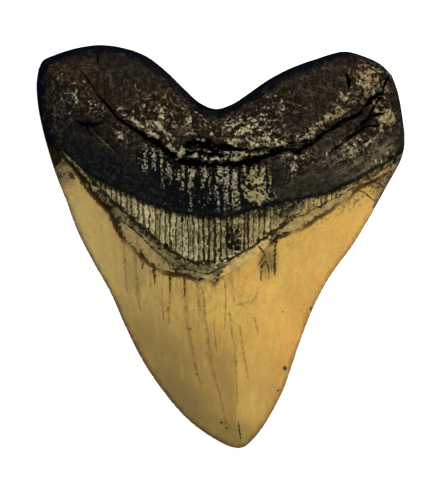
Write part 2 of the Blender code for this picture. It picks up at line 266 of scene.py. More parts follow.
def buildRoot():
    look = rootFinish
    material, shader, n, vector = newMaterial("rootCrust")
    worn, sooty, rusty, tanned, brushed, streaky = n.attributes("worn sooty rusty tanned brushed streaky")
    rimAway, lipSide, under = n.attributes("rimAway lipSide underside")
    apart = n.apart(vector)
    tone = n.group(mottleTree, vector, Size=look["mottleSize"])["Tone"]
    # crust: warm, olive and dark browns, with rust on the lobes
    colour = n.mix(n.group(driftTree, n.stretched(vector, (1.0, 1.0, 1.7)), Size=9.0)["Value"], look["brown"],
                   look["oliveBrown"])
    colour = n.over(colour, look["darkBrown"], n.group(driftTree, vector, Size=5.0)["Value"], 0.55)
    clouds = n.ramp(n.noise(vector, 0.55, 4.0, 0.68, 0.4), 0.5, 0.64)
    colour = n.over(colour, look["paleBrown"], clouds, 0.38)
    reddish = n.ramp(n.noise(n.stretched(vector, (1.0, 1.0, 1.3)), 0.48, 3.0, 0.6, 0.5), 0.5, 0.6)
    colour = n.over(colour, look["plum"], reddish, 0.32)
    lowRight = n.times(n.ramp(apart["X"], 13.0, 22.0), n.ramp(apart["Y"], 40.0, 29.0))
    colour = n.over(colour, look["lowOlive"], lowRight, n.math("SUBTRACT", 1.0, under), 0.6)
    grainy = n.noise(vector, 0.85, 3.0, 0.7, 0.5)
    rough = n.ramp(worn, 0.15, 0.7)
    colour = n.over(colour, look["paleBrown"], n.ramp(grainy, 0.53, 0.62), n.plus(rough, 0.28, 0.17))
    rust = n.times(rusty, n.group(mottleTree, vector, Size=1.9, Cover=0.55, Soft=0.06)["Mask"])
    colour = n.over(colour, look["rust"], rust, 0.7)
    pits = n.ramp(n.plus(n.centred(grainy), 0.7, tone), 0.515, 0.445)
    colour = n.over(colour, n.mix(sooty, look["pit"], look["soot"]), pits, n.plus(rough, 0.34, 0.64))
    # worn places show paler layers, the palest where the blotches peak
    peak = n.math("SUBTRACT", 0.712, n.times(n.math("POWER", worn, 0.8), 0.15))
    peak = n.plus(sooty, 0.2, peak)
    pale = n.ramp(n.math("SUBTRACT", tone, peak), -0.07, -0.022)
    cream = n.ramp(n.math("SUBTRACT", tone, peak), -0.012, 0.02)
    colour = n.over(colour, n.mix(tanned, look["paleBrown"], look["dullTan"]), pale, 0.8)
    lot = n.ramp(n.noise(vector, 0.75, 3.0, 0.65, 0.4), 0.4, 0.6)
    creamTone = n.mix(lot, look["dullCream"], look["cream"])
    creamTone = n.over(creamTone, n.mix(lot, look["dullTan"], look["tan"]), tanned, 0.9)
    rightStreaks = n.times(n.ramp(apart["X"], 3.0, 10.0), n.ramp(streaky, 0.1, 0.4))
    creamTone = n.over(creamTone, n.mix(lot, look["olivePatch"], look["patchLight"]), rightStreaks)
    # wide soft strokes that run along the lip
    along = n.add("ShaderNodeMapping", {"Vector": vector, "Rotation": (0.0, 0.0, look["strokeTurn"])}).outputs[0]
    stroke = n.noise(n.stretched(along, (0.11, 0.62, 0.4)), 0.95, 4.0, 0.62)
    stroke = n.ramp(n.plus(brushed, 0.08, stroke), 0.53, 0.64)
    stroke = n.times(stroke, n.ramp(grainy, 0.42, 0.58, 0.35, 1.0))
    colour = n.over(colour, look["olive"], stroke, brushed, 0.8)
    colour = n.over(colour, look["soot"], sooty, n.plus(cream, -0.8, 0.97))
    dust = n.ramp(n.noise(vector, 0.8, 5.0, 0.72), 0.44, 0.72, 0.0, 0.46)
    colour = n.over(colour, look["ash"], dust, sooty)
    colour = n.over(colour, creamTone, cream, 0.95)
    # upright columns of beads on black below the main crack
    sway = n.noise(n.tall(vector, 0.1), 0.3, 2.0)
    phase = n.plus(sway, 1.8, n.times(apart["X"], look["columnsPerMm"]))
    lots = n.add("ShaderNodeTexWhiteNoise", {"W": n.math("FLOOR", phase)}, noise_dimensions="1D").outputs["Value"]
    inColumn = n.math("ABSOLUTE", n.centred(n.math("FRACT", phase)))
    column = n.ramp(n.math("SUBTRACT", inColumn, n.plus(lots, 0.13, 0.19)), -0.07, 0.1, 1.0, 0.0)
    length = n.ramp(n.plus(streaky, 0.12, n.noise(n.tall(vector, 0.3), 0.3, 3.0, 0.6)), 0.46, 0.57)
    column = n.greatest(n.times(column, length), n.ramp(apart["Y"], 26.0, 29.5, 0.0, 0.3))
    frayed = n.centred(n.noise(n.tall(vector, 0.5), 0.5, 4.0, 0.66))
    inStreak = n.ramp(n.plus(frayed, 1.1, streaky), 0.12, 0.5)
    colour = n.over(colour, look["soot"], inStreak, n.plus(cream, -0.85, 0.93))
    beads = n.group(dotTree, n.shifted(vector, 1.5, 1.1), Size=look["beadSize"], Reach=0.68,
                    Share=n.times(n.plus(column, 0.86, 0.07), n.plus(inStreak, 0.7, 0.3)))["Mask"]
    beads = n.times(beads, n.ramp(n.noise(vector, 1.7, 2.0, 0.6), 0.36, 0.5, 0.25, 1.0))
    beads = n.times(beads, inStreak, n.plus(column, 0.75, 0.25))
    brightness = n.math("MULTIPLY_ADD", n.ramp(streaky, 0.5, 0.95), 0.65, n.plus(lot, 0.7, -0.35), clamp=True)
    beadTone = n.mix(n.ramp(apart["X"], 2.0, 11.0), n.mix(brightness, look["bead"], look["brightBead"]),
                     n.mix(lot, look["olivePatch"], look["patchLight"]))
    colour = n.over(colour, beadTone, beads, 0.95)
    crumbly = n.centred(n.noise(vector, 0.95, 4.0, 0.7, 0.6))
    flaked = n.attribute("cream")
    flake = n.times(n.ramp(n.plus(crumbly, 3.6, flaked), 0.52, 0.78), n.ramp(flaked, 0.02, 0.12, 0.12, 1.0))
    # painted shade makes the rim blackest, broken up by noise, and the last of the lip is blackest too
    rimShadeMask = n.ramp(n.plus(n.noise(vector, 0.34, 4.0, 0.66), -8.0, rimAway), n.plus(under, -2.4, -2.4),
                     n.plus(under, 4.0, 0.1), 1.0, 0.0)
    rimShadeBreakup = n.ramp(n.noise(vector, 0.45, 4.0, 0.7), 0.36, 0.6, n.plus(under, -0.15, 0.8), 0.97)
    colour = n.over(colour, look["rim"], rimShadeMask, rimShadeBreakup, n.plus(tanned, -0.75, 1.0))
    lipMask = n.ramp(n.plus(n.noise(vector, 0.6, 3.0, 0.6), -2.4, lipSide), -0.9, 0.6, 1.0, 0.0)
    colour = n.over(colour, look["soot"], lipMask, 0.92)
    crack = lineMask(n, vector, "crack", 1.1, 0.3, 0.95, 1.5)
    colour = n.over(colour, look["crack"], crack)
    colour = n.over(colour, creamTone, flake, 0.92)
    scratch = lineMask(n, vector, "pale", 1.0, 1.0, 1.1, 1.3)
    scratch = n.times(scratch, n.ramp(n.noise(vector, 0.6, 4.0, 0.7), 0.4, 0.6))
    colour = n.over(colour, look["dullCream"], scratch, 0.45)
    n.feed(shader.inputs["Base Color"], colour)
    n.feed(shader.inputs["Roughness"], n.ramp(pale, 0.0, 1.0, *look["roughness"]))
    shader.inputs["Specular IOR Level"].default_value = 0.0
    height = n.plus(n.greatest(cream, beads), 0.35, n.group(gritTree, vector, Size=1.1, Pits=0.7)["Height"])
    height = n.plus(n.greatest(crack, pits), -0.9, height)
    n.feed(shader.inputs["Normal"], addBump(n, height, 0.7, 0.3))
    return material


bandFinish = {
    "bar": (0.500, 0.435, 0.225),
    "barShade": (0.240, 0.200, 0.088),
    "warmBar": (0.460, 0.350, 0.135),
    "gap": (0.022, 0.017, 0.008),
    "softGap": (0.080, 0.056, 0.024),
    "tan": (0.340, 0.240, 0.088),
    "pale": (0.52, 0.348, 0.112),
    "strip": (0.236, 0.178, 0.070),
    "warmStrip": (0.250, 0.165, 0.056),
    "moss": (0.125, 0.100, 0.046),
    "dark": (0.0055, 0.0048, 0.0030),
    "line": (0.014, 0.0090, 0.0036),
    "rubbleSize": 1.7,  # crumbs of the strip below the bars
    "roughness": (0.45, 0.8),
}


def buildBand():
    look = bandFinish
    material, shader, n, vector = newMaterial("bourletteBand")
    phase, barred, shade, tan, moss = n.attributes("barPhase barred bandShade bandTan bandMoss")
    lipSide, bandSide, enamelSide = n.attributes("lipSide bandSide enamelSide")
    upright, x = n.tall(vector, 0.3), n.apart(vector)["X"]
    # every bar has its own width and tone; many have a broken dark line down the middle
    swing = n.plus(n.centred(n.noise(n.tall(vector, 0.45), 0.9, 3.0, 0.66)), 1.1, phase)
    number = n.math("FLOOR", swing)
    lots = n.add("ShaderNodeTexWhiteNoise", {"W": number}, noise_dimensions="1D")
    lots = n.add("ShaderNodeSeparateColor", {0: lots.outputs["Color"]}).outputs
    inBar = n.math("ABSOLUTE", n.centred(n.math("FRACT", swing)))
    halfBar = n.plus(n.noise(vector, 1.3, 2.0), 0.3, n.ramp(lots[0], 0.0, 1.0, 0.1, 0.29))
    gap = n.ramp(n.math("SUBTRACT", inBar, halfBar), -0.06, 0.04)
    ownRow = n.add("ShaderNodeCombineXYZ", {0: n.times(number, 3.7), 1: n.times(number, 1.3), 2: 0.0}).outputs[0]
    moved = n.add("ShaderNodeVectorMath", {0: vector, 1: ownRow}, operation="ADD").outputs[0]
    broken = n.ramp(n.plus(n.noise(n.stretched(moved, (0.6, 0.7, 1.0)), 1.0, 3.0, 0.65), 1.0,
                           n.times(n.centred(lots[1]), 0.16)), 0.5, 0.56)
    dash = n.times(n.ramp(inBar, 0.06, 0.14, 1.0, 0.0), broken)
    flecks = n.group(mottleTree, n.tall(vector, 0.55), Size=1.15, Cover=0.46, Soft=0.04)["Mask"]
    dark = n.greatest(gap, n.times(dash, 0.9), n.times(flecks, 0.65))
    along = n.group(driftTree, upright, Size=3.2)["Value"]
    barTone = n.math("MULTIPLY_ADD", lots[2], 0.55, n.times(along, 0.55), clamp=True)
    ledge = n.ramp(x, 18.0, 25.0)
    leftGap = n.ramp(x, -14.0, -24.0, 0.0, 0.75)
    light = n.mix(n.ramp(x, -6.0, 12.0, 0.0, 0.95), look["bar"], look["warmBar"])
    light = n.over(light, look["pale"], ledge)
    barColour = n.mix(n.times(barTone, n.plus(ledge, -0.25, 1.0)), look["barShade"], light)
    barColour = n.over(barColour, n.mix(n.greatest(ledge, leftGap), look["gap"], look["softGap"]), dark)
    # strip below the bars: smooth where it is tan, crumbly and dark elsewhere
    rubble = n.group(mottleTree, n.tall(vector, 0.7), Size=look["rubbleSize"],
                     Cover=n.plus(tan, 0.45, 0.42), Soft=0.07)
    lump = n.centred(rubble["Tone"])
    colour = n.mix(rubble["Mask"], look["moss"], look["strip"])
    colour = n.over(colour, look["dark"], n.ramp(rubble["Tone"], 0.45, 0.38))
    mossy = n.mix(n.ramp(rubble["Tone"], 0.42, 0.6), look["dark"], look["moss"])
    colour = n.over(colour, mossy, moss)
    smoothTan = n.mix(n.group(driftTree, vector, Size=2.6)["Value"],
                      n.mix(ledge, look["strip"], look["warmStrip"]), look["tan"])
    smoothTan = n.over(smoothTan, look["moss"], n.ramp(rubble["Tone"], 0.47, 0.38), 0.6)
    edgeOf = n.plus(lump, 1.3, tan)
    colour = n.over(colour, smoothTan, n.ramp(edgeOf, 0.25, 0.55))
    paleShare = n.ramp(n.plus(lump, 1.6, n.attribute("bandPale")), 0.2, 0.6)
    paleTone = n.mix(n.group(driftTree, vector, Size=2.2)["Value"], look["tan"], look["pale"])
    paleTone = n.over(paleTone, look["strip"], n.ramp(rubble["Tone"], 0.47, 0.4, 0.0, 0.5))
    colour = n.over(colour, paleTone, paleShare)
    inBand = n.ramp(n.plus(n.centred(lots[1]), -0.9, bandSide), -0.25, 0.2)
    colour = n.over(colour, barColour, inBand, n.ramp(barred, 0.1, 0.6))
    blot = n.group(mottleTree, vector, Size=1.9, Cover=0.66, Soft=0.08)["Mask"]
    shadeMask = n.ramp(n.plus(lump, 1.2, shade), 0.95, 1.2)
    shaded = n.greatest(n.times(shade, blot, 0.95), n.times(shadeMask, 0.92))
    colour = n.over(colour, look["dark"], shaded)
    holes = n.ramp(n.attribute("hole"), 0.35, 0.6)
    crumbly = n.centred(n.noise(vector, 1.2, 4.0, 0.7, 0.5))
    flake = n.ramp(n.plus(crumbly, 3.0, n.attribute("cream")), 0.55, 0.8)
    # dark lines along the band's own edges and across it
    heavy = n.attribute("edgeDark")
    bandLine = n.group(raggedTree, vector, Side=bandSide, Away=n.math("ABSOLUTE", bandSide),
                       Width=n.plus(ledge, -0.36, 0.62), Soft=0.22, Ragged=0.8, Size=1.7)["Mask"]
    enamelLine = n.group(raggedTree, vector, Side=enamelSide, Away=n.math("ABSOLUTE", enamelSide),
                         Width=n.plus(heavy, 1.05, 0.08), Soft=0.25, Ragged=0.7, Size=1.5)["Mask"]
    lipLine = n.ramp(n.plus(n.noise(n.tall(vector, 0.6), 0.75, 4.0, 0.7), 5.0, lipSide), 1.4, 2.4)
    colour = n.over(colour, look["dark"], bandLine, n.ramp(n.attribute("bandPale"), 0.3, 0.9, 0.92, 0.6))
    colour = n.over(colour, look["line"], enamelLine, n.ramp(heavy, 0.0, 0.6, 0.0, 0.96))
    colour = n.over(colour, look["dark"], lipLine, 0.9)
    colour = n.over(colour, look["line"], markedLine(n, vector, 0.45, 0.7), 0.9)
    colour = n.over(colour, look["bar"], flake, 0.9)
    colour = n.over(colour, look["dark"], holes)
    scratch = lineMask(n, vector, "pale", 1.0, 0.5, 0.7, 1.3)
    patchy = n.ramp(n.noise(vector, 0.8, 3.0, 0.6), 0.4, 0.6, 0.1, 0.8)
    colour = n.over(colour, look["tan"], scratch, patchy)
    n.feed(shader.inputs["Base Color"], colour)
    n.feed(shader.inputs["Roughness"], n.ramp(dark, 0.0, 1.0, *look["roughness"]))
    shader.inputs["Specular IOR Level"].default_value = 0.0
    grit = n.times(n.group(gritTree, vector, Size=0.9, Pits=0.5)["Height"], 0.6)
    height = n.plus(n.times(dark, inBand), -0.8, grit)
    height = n.plus(holes, -1.0, height)
    n.feed(shader.inputs["Normal"], addBump(n, height, 0.7, 0.26))
    return material


crownFinish = {
    "tan": (0.540, 0.347, 0.084),
    "warm": (0.530, 0.312, 0.068),
    "straw": (0.455, 0.322, 0.098),
    # painted light on the right of the ridge near the tip
    "lit": (0.640, 0.390, 0.095),
    "umber": (0.240, 0.158, 0.048),
    "olive": (0.185, 0.128, 0.042),
    "pale": (0.62, 0.41, 0.130),
    "blush": (0.52, 0.235, 0.055),
    # stain also gives the painted shade along the cutting edges
    "stain": (0.070, 0.042, 0.015),
    "edge": (0.024, 0.0115, 0.0025),
    "hair": (0.165, 0.088, 0.021),
    "ridgeAt": 3.6,  # x of the ridge near the tip
    "ridgeLean": 0.045,
    "speckSize": 1.9,
    "roughness": (0.36, 0.55),
}


def buildCrown():
    look = crownFinish
    material, shader, n, vector = newMaterial("enamelCrown")
    enamelSide, rimAway, stain = n.attributes("enamelSide rimAway crownStain")
    apart = n.apart(vector)
    x, y = apart["X"], apart["Y"]
    upright = n.tall(vector, 0.16)
    below = n.times(enamelSide, -1.0)
    drift = n.group(driftTree, n.tall(vector, 0.5), Size=16.0)["Value"]
    colour = n.mix(drift, look["tan"], look["warm"])
    leftShare = n.ramp(n.plus(n.noise(vector, 0.07, 3.0), 14.0, x), 9.0, -19.0)
    colour = n.over(colour, look["straw"], leftShare, 0.95)
    blushMask = n.ramp(n.plus(n.noise(vector, 0.2, 4.0, 0.7), -9.0, rimAway), -3.0, 4.0, 1.0, 0.0)
    blushMask = n.times(blushMask, n.ramp(x, 4.0, 16.0), n.ramp(y, 8.0, -8.0, 0.2, 1.0))
    colour = n.over(colour, look["blush"], blushMask, 0.4)
    # darker towards the tip and the lower left: partly stain, partly painted shade
    lowStainAndShade = n.ramp(n.plus(n.noise(vector, 0.09, 3.0), 14.0, n.plus(x, 0.35, y)), -12.0, -36.0)
    colour = n.over(colour, look["umber"], lowStainAndShade, n.ramp(x, -14.0, 5.0, 0.86, 0.68))
    # the ridge near the tip: painted shade on its left, painted light on its right
    ridge = n.plus(y, look["ridgeLean"], n.math("SUBTRACT", x, look["ridgeAt"]))
    ridge = n.plus(n.noise(upright, 0.4, 3.0, 0.6), 2.0, ridge)
    lowDown = n.ramp(n.plus(n.noise(upright, 0.3, 2.0), 10.0, y), -20.0, -36.0)
    lowDown = n.times(lowDown, n.math("SUBTRACT", 1.0, n.attribute("underside")))
    ridgeShade = n.times(n.ramp(ridge, -9.0, -0.9), n.ramp(ridge, -0.9, 1.3, 1.0, 0.0), lowDown)
    lit = n.times(n.ramp(ridge, -0.9, 1.3), n.ramp(ridge, 3.0, 17.0, 1.0, 0.0), lowDown)
    ridgeShade = n.times(ridgeShade, n.ramp(n.noise(upright, 0.9, 3.0, 0.6), 0.35, 0.6, 0.45, 1.0))
    colour = n.over(colour, look["olive"], ridgeShade, 0.14)
    colour = n.over(colour, look["lit"], lit, 0.36)
    # fine grain all over
    grain = n.ramp(n.noise(vector, 1.1, 4.0, 0.74), 0.44, 0.62)
    colour = n.over(colour, look["umber"], grain, 0.27)
    glow = n.ramp(n.noise(vector, 0.32, 5.0, 0.72), 0.5, 0.64)
    colour = n.over(colour, look["blush"], glow, 0.26)
    # pale bloom, clouds and long faint streaks
    streak = n.ramp(n.noise(n.tall(vector, 0.07), 0.55, 4.0, 0.66), 0.45, 0.62)
    nearEdge = n.ramp(below, 6.0, 46.0, 1.0, 0.4)
    leftOfMiddle = n.ramp(x, 3.0, 18.0, 1.0, 0.15)
    farLeft = n.ramp(n.plus(n.noise(vector, 0.1, 2.0), 6.0, x), -24.0, -34.0, 1.0, 0.25)
    streaks = n.times(streak, nearEdge, leftOfMiddle, farLeft)
    colour = n.over(colour, look["olive"], streaks, 0.22)
    threads = n.ramp(n.noise(n.tall(vector, 0.05), 1.3, 3.0, 0.6), 0.52, 0.6)
    threads = n.times(threads, leftOfMiddle, n.ramp(below, 0.0, 40.0, 1.0, 0.35), farLeft)
    colour = n.over(colour, look["olive"], threads, 0.31)
    cloud = n.ramp(n.noise(n.tall(vector, 0.55), 0.16, 5.0, 0.66), 0.36, 0.66)
    colour = n.over(colour, look["olive"], cloud, 0.16)
    paleMask = n.ramp(n.noise(upright, 0.35, 3.0, 0.6), 0.5, 0.75)
    colour = n.over(colour, look["pale"], paleMask, 0.22)
    # stains under the enamel's edge and in soft patches, the patches holding painted shade too; painted shade along
    # the cutting edges
    runs = n.ramp(n.plus(n.noise(upright, 0.8, 3.0, 0.6), -16.0, below), -11.0, -4.0, 1.0, 0.0)
    # the soft patches are stains, with painted shade towards the lower left and the tip
    patches = n.times(stain, n.ramp(n.noise(n.tall(vector, 0.35), 0.3, 5.0, 0.66), 0.32, 0.6, 0.72, 1.0))
    stainAndShadeShare = n.greatest(n.times(runs, leftOfMiddle, 0.7), patches)
    colour = n.over(colour, look["olive"], stainAndShadeShare, 0.85)
    heavy = n.attribute("edgeDark")
    edgeLine = n.plus(heavy, -0.55, n.plus(n.noise(vector, 0.9, 3.0, 0.65), -1.7, below))
    edgeLine = n.ramp(edgeLine, -0.62, 0.1, 1.0, 0.0)
    colour = n.over(colour, look["edge"], edgeLine, n.ramp(heavy, 0.0, 0.6, 0.1, 0.96))
    # painted shade along the rounded cutting edges, heavier on the left
    cuttingEdgeShade = n.ramp(n.plus(n.noise(vector, 0.5, 3.0, 0.6), -2.2, rimAway), -1.1, 0.8, 1.0, 0.0)
    colour = n.over(colour, look["stain"], cuttingEdgeShade, n.ramp(x, 20.0, -6.0, 0.55, 0.85))
    # specks: a few anywhere, many near the cutting edges and in the speckled patches
    crumb = n.times(n.attribute("speckled"), n.ramp(n.noise(vector, 0.85, 4.0, 0.72), 0.5, 0.6))
    specks = n.group(dotTree, vector, Size=look["speckSize"], Reach=0.17, Share=0.3)["Mask"]
    nearRim = n.ramp(rimAway, 0.6, 9.0, 1.0, 0.25)
    rimDots = n.group(dotTree, vector, Size=1.15, Reach=0.3, Share=n.ramp(rimAway, 0.4, 3.2, 0.8, 0.0))["Mask"]
    specks = n.greatest(n.times(specks, nearRim), rimDots)
    colour = n.over(colour, look["stain"], specks, 0.55)
    colour = n.over(colour, look["stain"], crumb, 0.9)
    # thin cracks: brown, soft and broken into dashes, each with a faint stain beside it
    hair = lineMask(n, vector, "hair", 2.3, 2.0, 1.5, 1.2)
    dashes = n.ramp(n.noise(n.stretched(vector, (0.5, 1.0, 1.0)), 1.1, 3.0, 0.7), 0.42, 0.58, 0.18, 1.0)
    fading = n.ramp(n.noise(upright, 0.9, 2.0, 0.6), 0.36, 0.6, 0.35, 1.0)
    halo = n.ramp(n.attribute("hairAway"), 0.5, 7.0, 0.2, 0.0)
    colour = n.over(colour, look["olive"], halo)
    colour = n.over(colour, look["hair"], hair, dashes, fading, 0.78)
    darker = n.ramp(n.noise(vector, 1.3, 3.0, 0.7), 0.57, 0.65)
    colour = n.over(colour, look["stain"], hair, darker, 0.45)
    colour = n.over(colour, look["edge"], markedLine(n, vector, 0.6, 0.8), 0.96)
    spot = n.ramp(n.plus(n.centred(n.noise(vector, 1.2, 3.0, 0.6)), 0.8, n.attribute("spot")), 0.3, 0.75)
    colour = n.over(colour, look["edge"], spot, 0.96)
    n.feed(shader.inputs["Base Color"], colour)
    wear = n.group(driftTree, vector, Size=5.0)["Value"]
    n.feed(shader.inputs["Roughness"], n.ramp(n.greatest(wear, specks), 0.0, 1.0, *look["roughness"]))
    shader.inputs["Specular IOR Level"].default_value = 0.03
    fine = n.noise(upright, 1.6, 4.0, 0.6)
    height = n.plus(fine, 0.25, n.times(n.greatest(hair, specks), -0.6))
    n.feed(shader.inputs["Normal"], addBump(n, height, 0.35, 0.16))
    return material


toothFinishes = [buildRoot(), buildBand(), buildCrown()]
print("materials built")

# Lines of the tooth in millimetres: x to the right, y from the tip towards the root
rootOutline = [
    (-58.7, 57.2), (-57.2, 60), (-53.5, 61.8), (-46.4, 64), (-38.9, 65), (-31.1, 64), (-24, 61.4), (-17.2, 56.2),
    (-12, 51.1), (-6.6, 46.3), (-1.6, 44.4), (3.8, 46), (9.6, 49.8), (15.2, 53.7), (22.4, 57.5), (31, 60.6),
    (39.8, 62.9), (46, 61.4), (51.5, 58.8), (55.1, 55.3),
]
leftBorder = [
    (-58.7, 57.2), (-59.3, 52.4), (-58.9, 45.9), (-57.7, 39.4), (-55.9, 32.3), (-53.6, 24.6), (-50.3, 16),
    (-45.9, 4.4), (-41.3, -4.6), (-35.4, -15.1), (-30.3, -26.7), (-24.2, -38.4), (-15.8, -50.1), (-10.8, -55.5),
    (-5.7, -59.6), (0.4, -63.3), (3.2, -64.5), (5.8, -65),
]
rightBorder = [
    (55.1, 55.3), (57, 50), (58.5, 42), (59.3, 33.6), (58, 27.7), (53.8, 19.9), (48.4, 10), (42.6, 0.5), (35.5, -9.2),
    (30.2, -19), (26.2, -29), (23, -38.4), (20.2, -46.2), (16.2, -54), (12.6, -59.6), (9.2, -63.4), (7.7, -64.5),
    (5.8, -65),
]
mainCrack = [
    (-59.2, 53.4), (-52.8, 57), (-46.6, 57), (-42, 52.8), (-38.4, 49), (-35.8, 43.6), (-31.5, 39.7), (-24, 34.9),
    (-16.2, 30.3), (-11.3, 26.9), (-5, 25.8), (4, 26.2), (10.5, 27.6), (17, 30.2), (24.3, 30.4), (30.2, 33.6),
    (36, 38.1), (42.1, 41.4), (47.3, 46.4), (51.6, 49.4), (57, 50),
]
rootLip = [
    (-55.9, 32.3), (-50.6, 30.4), (-46, 25.6), (-37.6, 20.3), (-27.3, 15.7), (-17, 11.4), (-6.6, 9.6), (4.5, 9.9),
    (11.7, 12.2), (22.2, 14.4), (36.3, 17.7), (48.1, 24), (58.6, 30.4),
]
bourletteEdge = [
    (-55.2, 30.3), (-51.4, 29.6), (-44.1, 22.6), (-35.2, 15.2), (-26.9, 7.8), (-18.6, 0.8), (-10.8, -4.2), (-4.5, -5),
    (3.6, -3.4), (12, 1.2), (21.1, 7.8), (29.8, 12.3), (42.1, 18.6), (51, 24.2), (58, 28.6),
]
enamelEdge = [
    (-53.4, 25), (-51.6, 26.5), (-49.2, 27.2), (-46.6, 24.8), (-42.4, 18.9), (-35.4, 10.4), (-31.6, 3.4),
    (-24.4, -4.1), (-16.9, -8.7), (-11.6, -9.3), (-7.2, -10.9), (-4.6, -10.6), (-3.2, -11.2), (-2.2, -12.3),
    (-1.3, -10.8), (0, -9.9), (1.9, -8.5), (4.2, -7.4), (7, -5.4), (11, -3), (14.6, 0), (18, 2.9), (23.4, 5),
    (28, 7.4), (32.2, 10), (36.6, 12.8), (40.7, 15.6), (44.6, 18.8), (49, 21.2), (53.4, 23.9), (57, 26.4),
]
labialRootLine = [(-59.2, 53.4), (-44, 47), (-24, 38.5), (0, 33), (24, 38), (44, 45), (57, 50)]
labialEnamelEdge = [
    (-55.9, 32.3), (-44, 30), (-28, 26.5), (-12, 23.6), (2, 22.8), (16, 23.6), (32, 26), (46, 28.4), (58.6, 30.4),
]
labialFaceLine = [(-55.2, 30.3), (-28, 20), (2, 15), (32, 19), (57.9, 28.8)]
labialCrownLine = [(-53.2, 24.6), (-28, 6), (2, 0), (32, 4), (53.5, 19.9)]

# cracks in the root: x, y and half width at each point, then depth
rootCracks = [
    ([(-45.1, 56.6, 0.1), (-42.1, 53, 0.16), (-38.6, 47.8, 0.2), (-36, 44.9, 0.28), (-33.1, 41.3, 0.4),
      (-29.5, 38.9, 0.55), (-25.9, 36.5, 0.65), (-20.9, 33.2, 0.8), (-17.3, 30.6, 0.9), (-13.6, 28, 1),
      (-10.4, 26.7, 1.1), (-6, 26.2, 0.9), (0.6, 26.2, 0.85), (5.5, 26.2, 1), (10.5, 27.4, 1.1), (14.5, 29.3, 0.95),
      (18.8, 30.6, 0.7), (23.4, 31.2, 0.35)], 1.9),
    ([(22.6, 30.6, 0.3), (24.3, 30, 0.6), (26.8, 31.8, 0.6), (30.2, 33.8, 0.5), (32.4, 36, 0.6), (36, 38.1, 0.65),
      (38.8, 40, 0.6), (42.1, 41.4, 0.55), (44, 42, 0.5), (45.6, 44.3, 0.5), (47.5, 46.4, 0.6), (49.5, 48.1, 0.7),
      (51.5, 49.2, 0.5), (52.1, 50.8, 0.4), (52.5, 52.4, 0.4), (53.6, 53.8, 0.3)], 1.6),
    ([(-13, 29.9, 0.5), (-10.7, 31.8, 1.1), (-7.6, 33, 1.5), (-4.6, 32.6, 1.4), (-1.6, 31.2, 1.2), (1.4, 31.6, 1),
      (5.5, 30.9, 0.5), (11, 31.2, 0.3), (14.8, 31.5, 0.15)], 1.3),
    ([(-10.8, 29.8, 0.4), (-6, 30.2, 0.6), (-1.6, 29.2, 0.6), (1.6, 29.6, 0.4)], 0.9),
    ([(18.6, 31.8, 0.25), (23, 33.2, 0.35), (28.6, 34, 0.2)], 0.5),
    ([(35.2, 30.2, 0.15), (36.5, 31.3, 0.25), (39.9, 33.9, 0.4), (42.1, 35.7, 0.45), (45.1, 37.6, 0.45),
      (46.9, 38.5, 0.35), (50.3, 38.9, 0.2)], 1),
    ([(43, 37.4, 0.2), (45.4, 39.6, 0.4), (48.2, 41.6, 0.5), (50.6, 42.4, 0.35), (53.4, 43.3, 0.2)], 0.9),
    ([(50.8, 47.4, 0.4), (48.9, 44.4, 0.3), (47.6, 41.8, 0.3)], 0.7),
    ([(-54.6, 55, 0.06), (-52.4, 52.6, 0.12), (-50.4, 51.6, 0.06)], 0.3),
    ([(-45.4, 39.9, 0.3), (-43.6, 39.3, 0.8), (-41.6, 39, 0.95), (-39.4, 39.3, 0.45)], 0.9),
    ([(-42.8, 37.8, 0.2), (-41.8, 36.2, 0.2), (-40.8, 33.6, 0.1)], 0.4),
    ([(-40.4, 37.1, 0.15), (-36.6, 33.6, 0.25), (-33.4, 30.6, 0.1)], 0.5),
    ([(40.6, 54.2, 0.3), (41, 52.6, 0.62), (41, 51, 0.3)], 1.2),
    ([(-39.3, 62.4, 0.08), (-39.5, 60, 0.14), (-39.2, 57.6, 0.06)], 0.25),
]
# pale scratches that run along the lip: x, y and half width
paleLines = [
    [(-50.6, 30.4, 0.15), (-49, 28.6, 0.35), (-46.7, 26.6, 0.4), (-44.1, 23.6, 0.4), (-42, 21.2, 0.25)],
    [(56, 32.2, 0.2), (50.4, 29.9, 0.4), (44.2, 27, 0.4), (38.9, 25, 0.2)],
    [(56.2, 34.8, 0.2), (52.2, 32.2, 0.35), (48, 30.4, 0.2)],
    [(52.6, 28.2, 0.25), (46.6, 25, 0.4), (41, 22.2, 0.25)],
    [(46, 32.6, 0.2), (41, 29.6, 0.35), (36, 26.4, 0.2)],
    [(-41.6, 37.6, 0.15), (-38, 34.4, 0.35), (-34.6, 31, 0.15)],
]
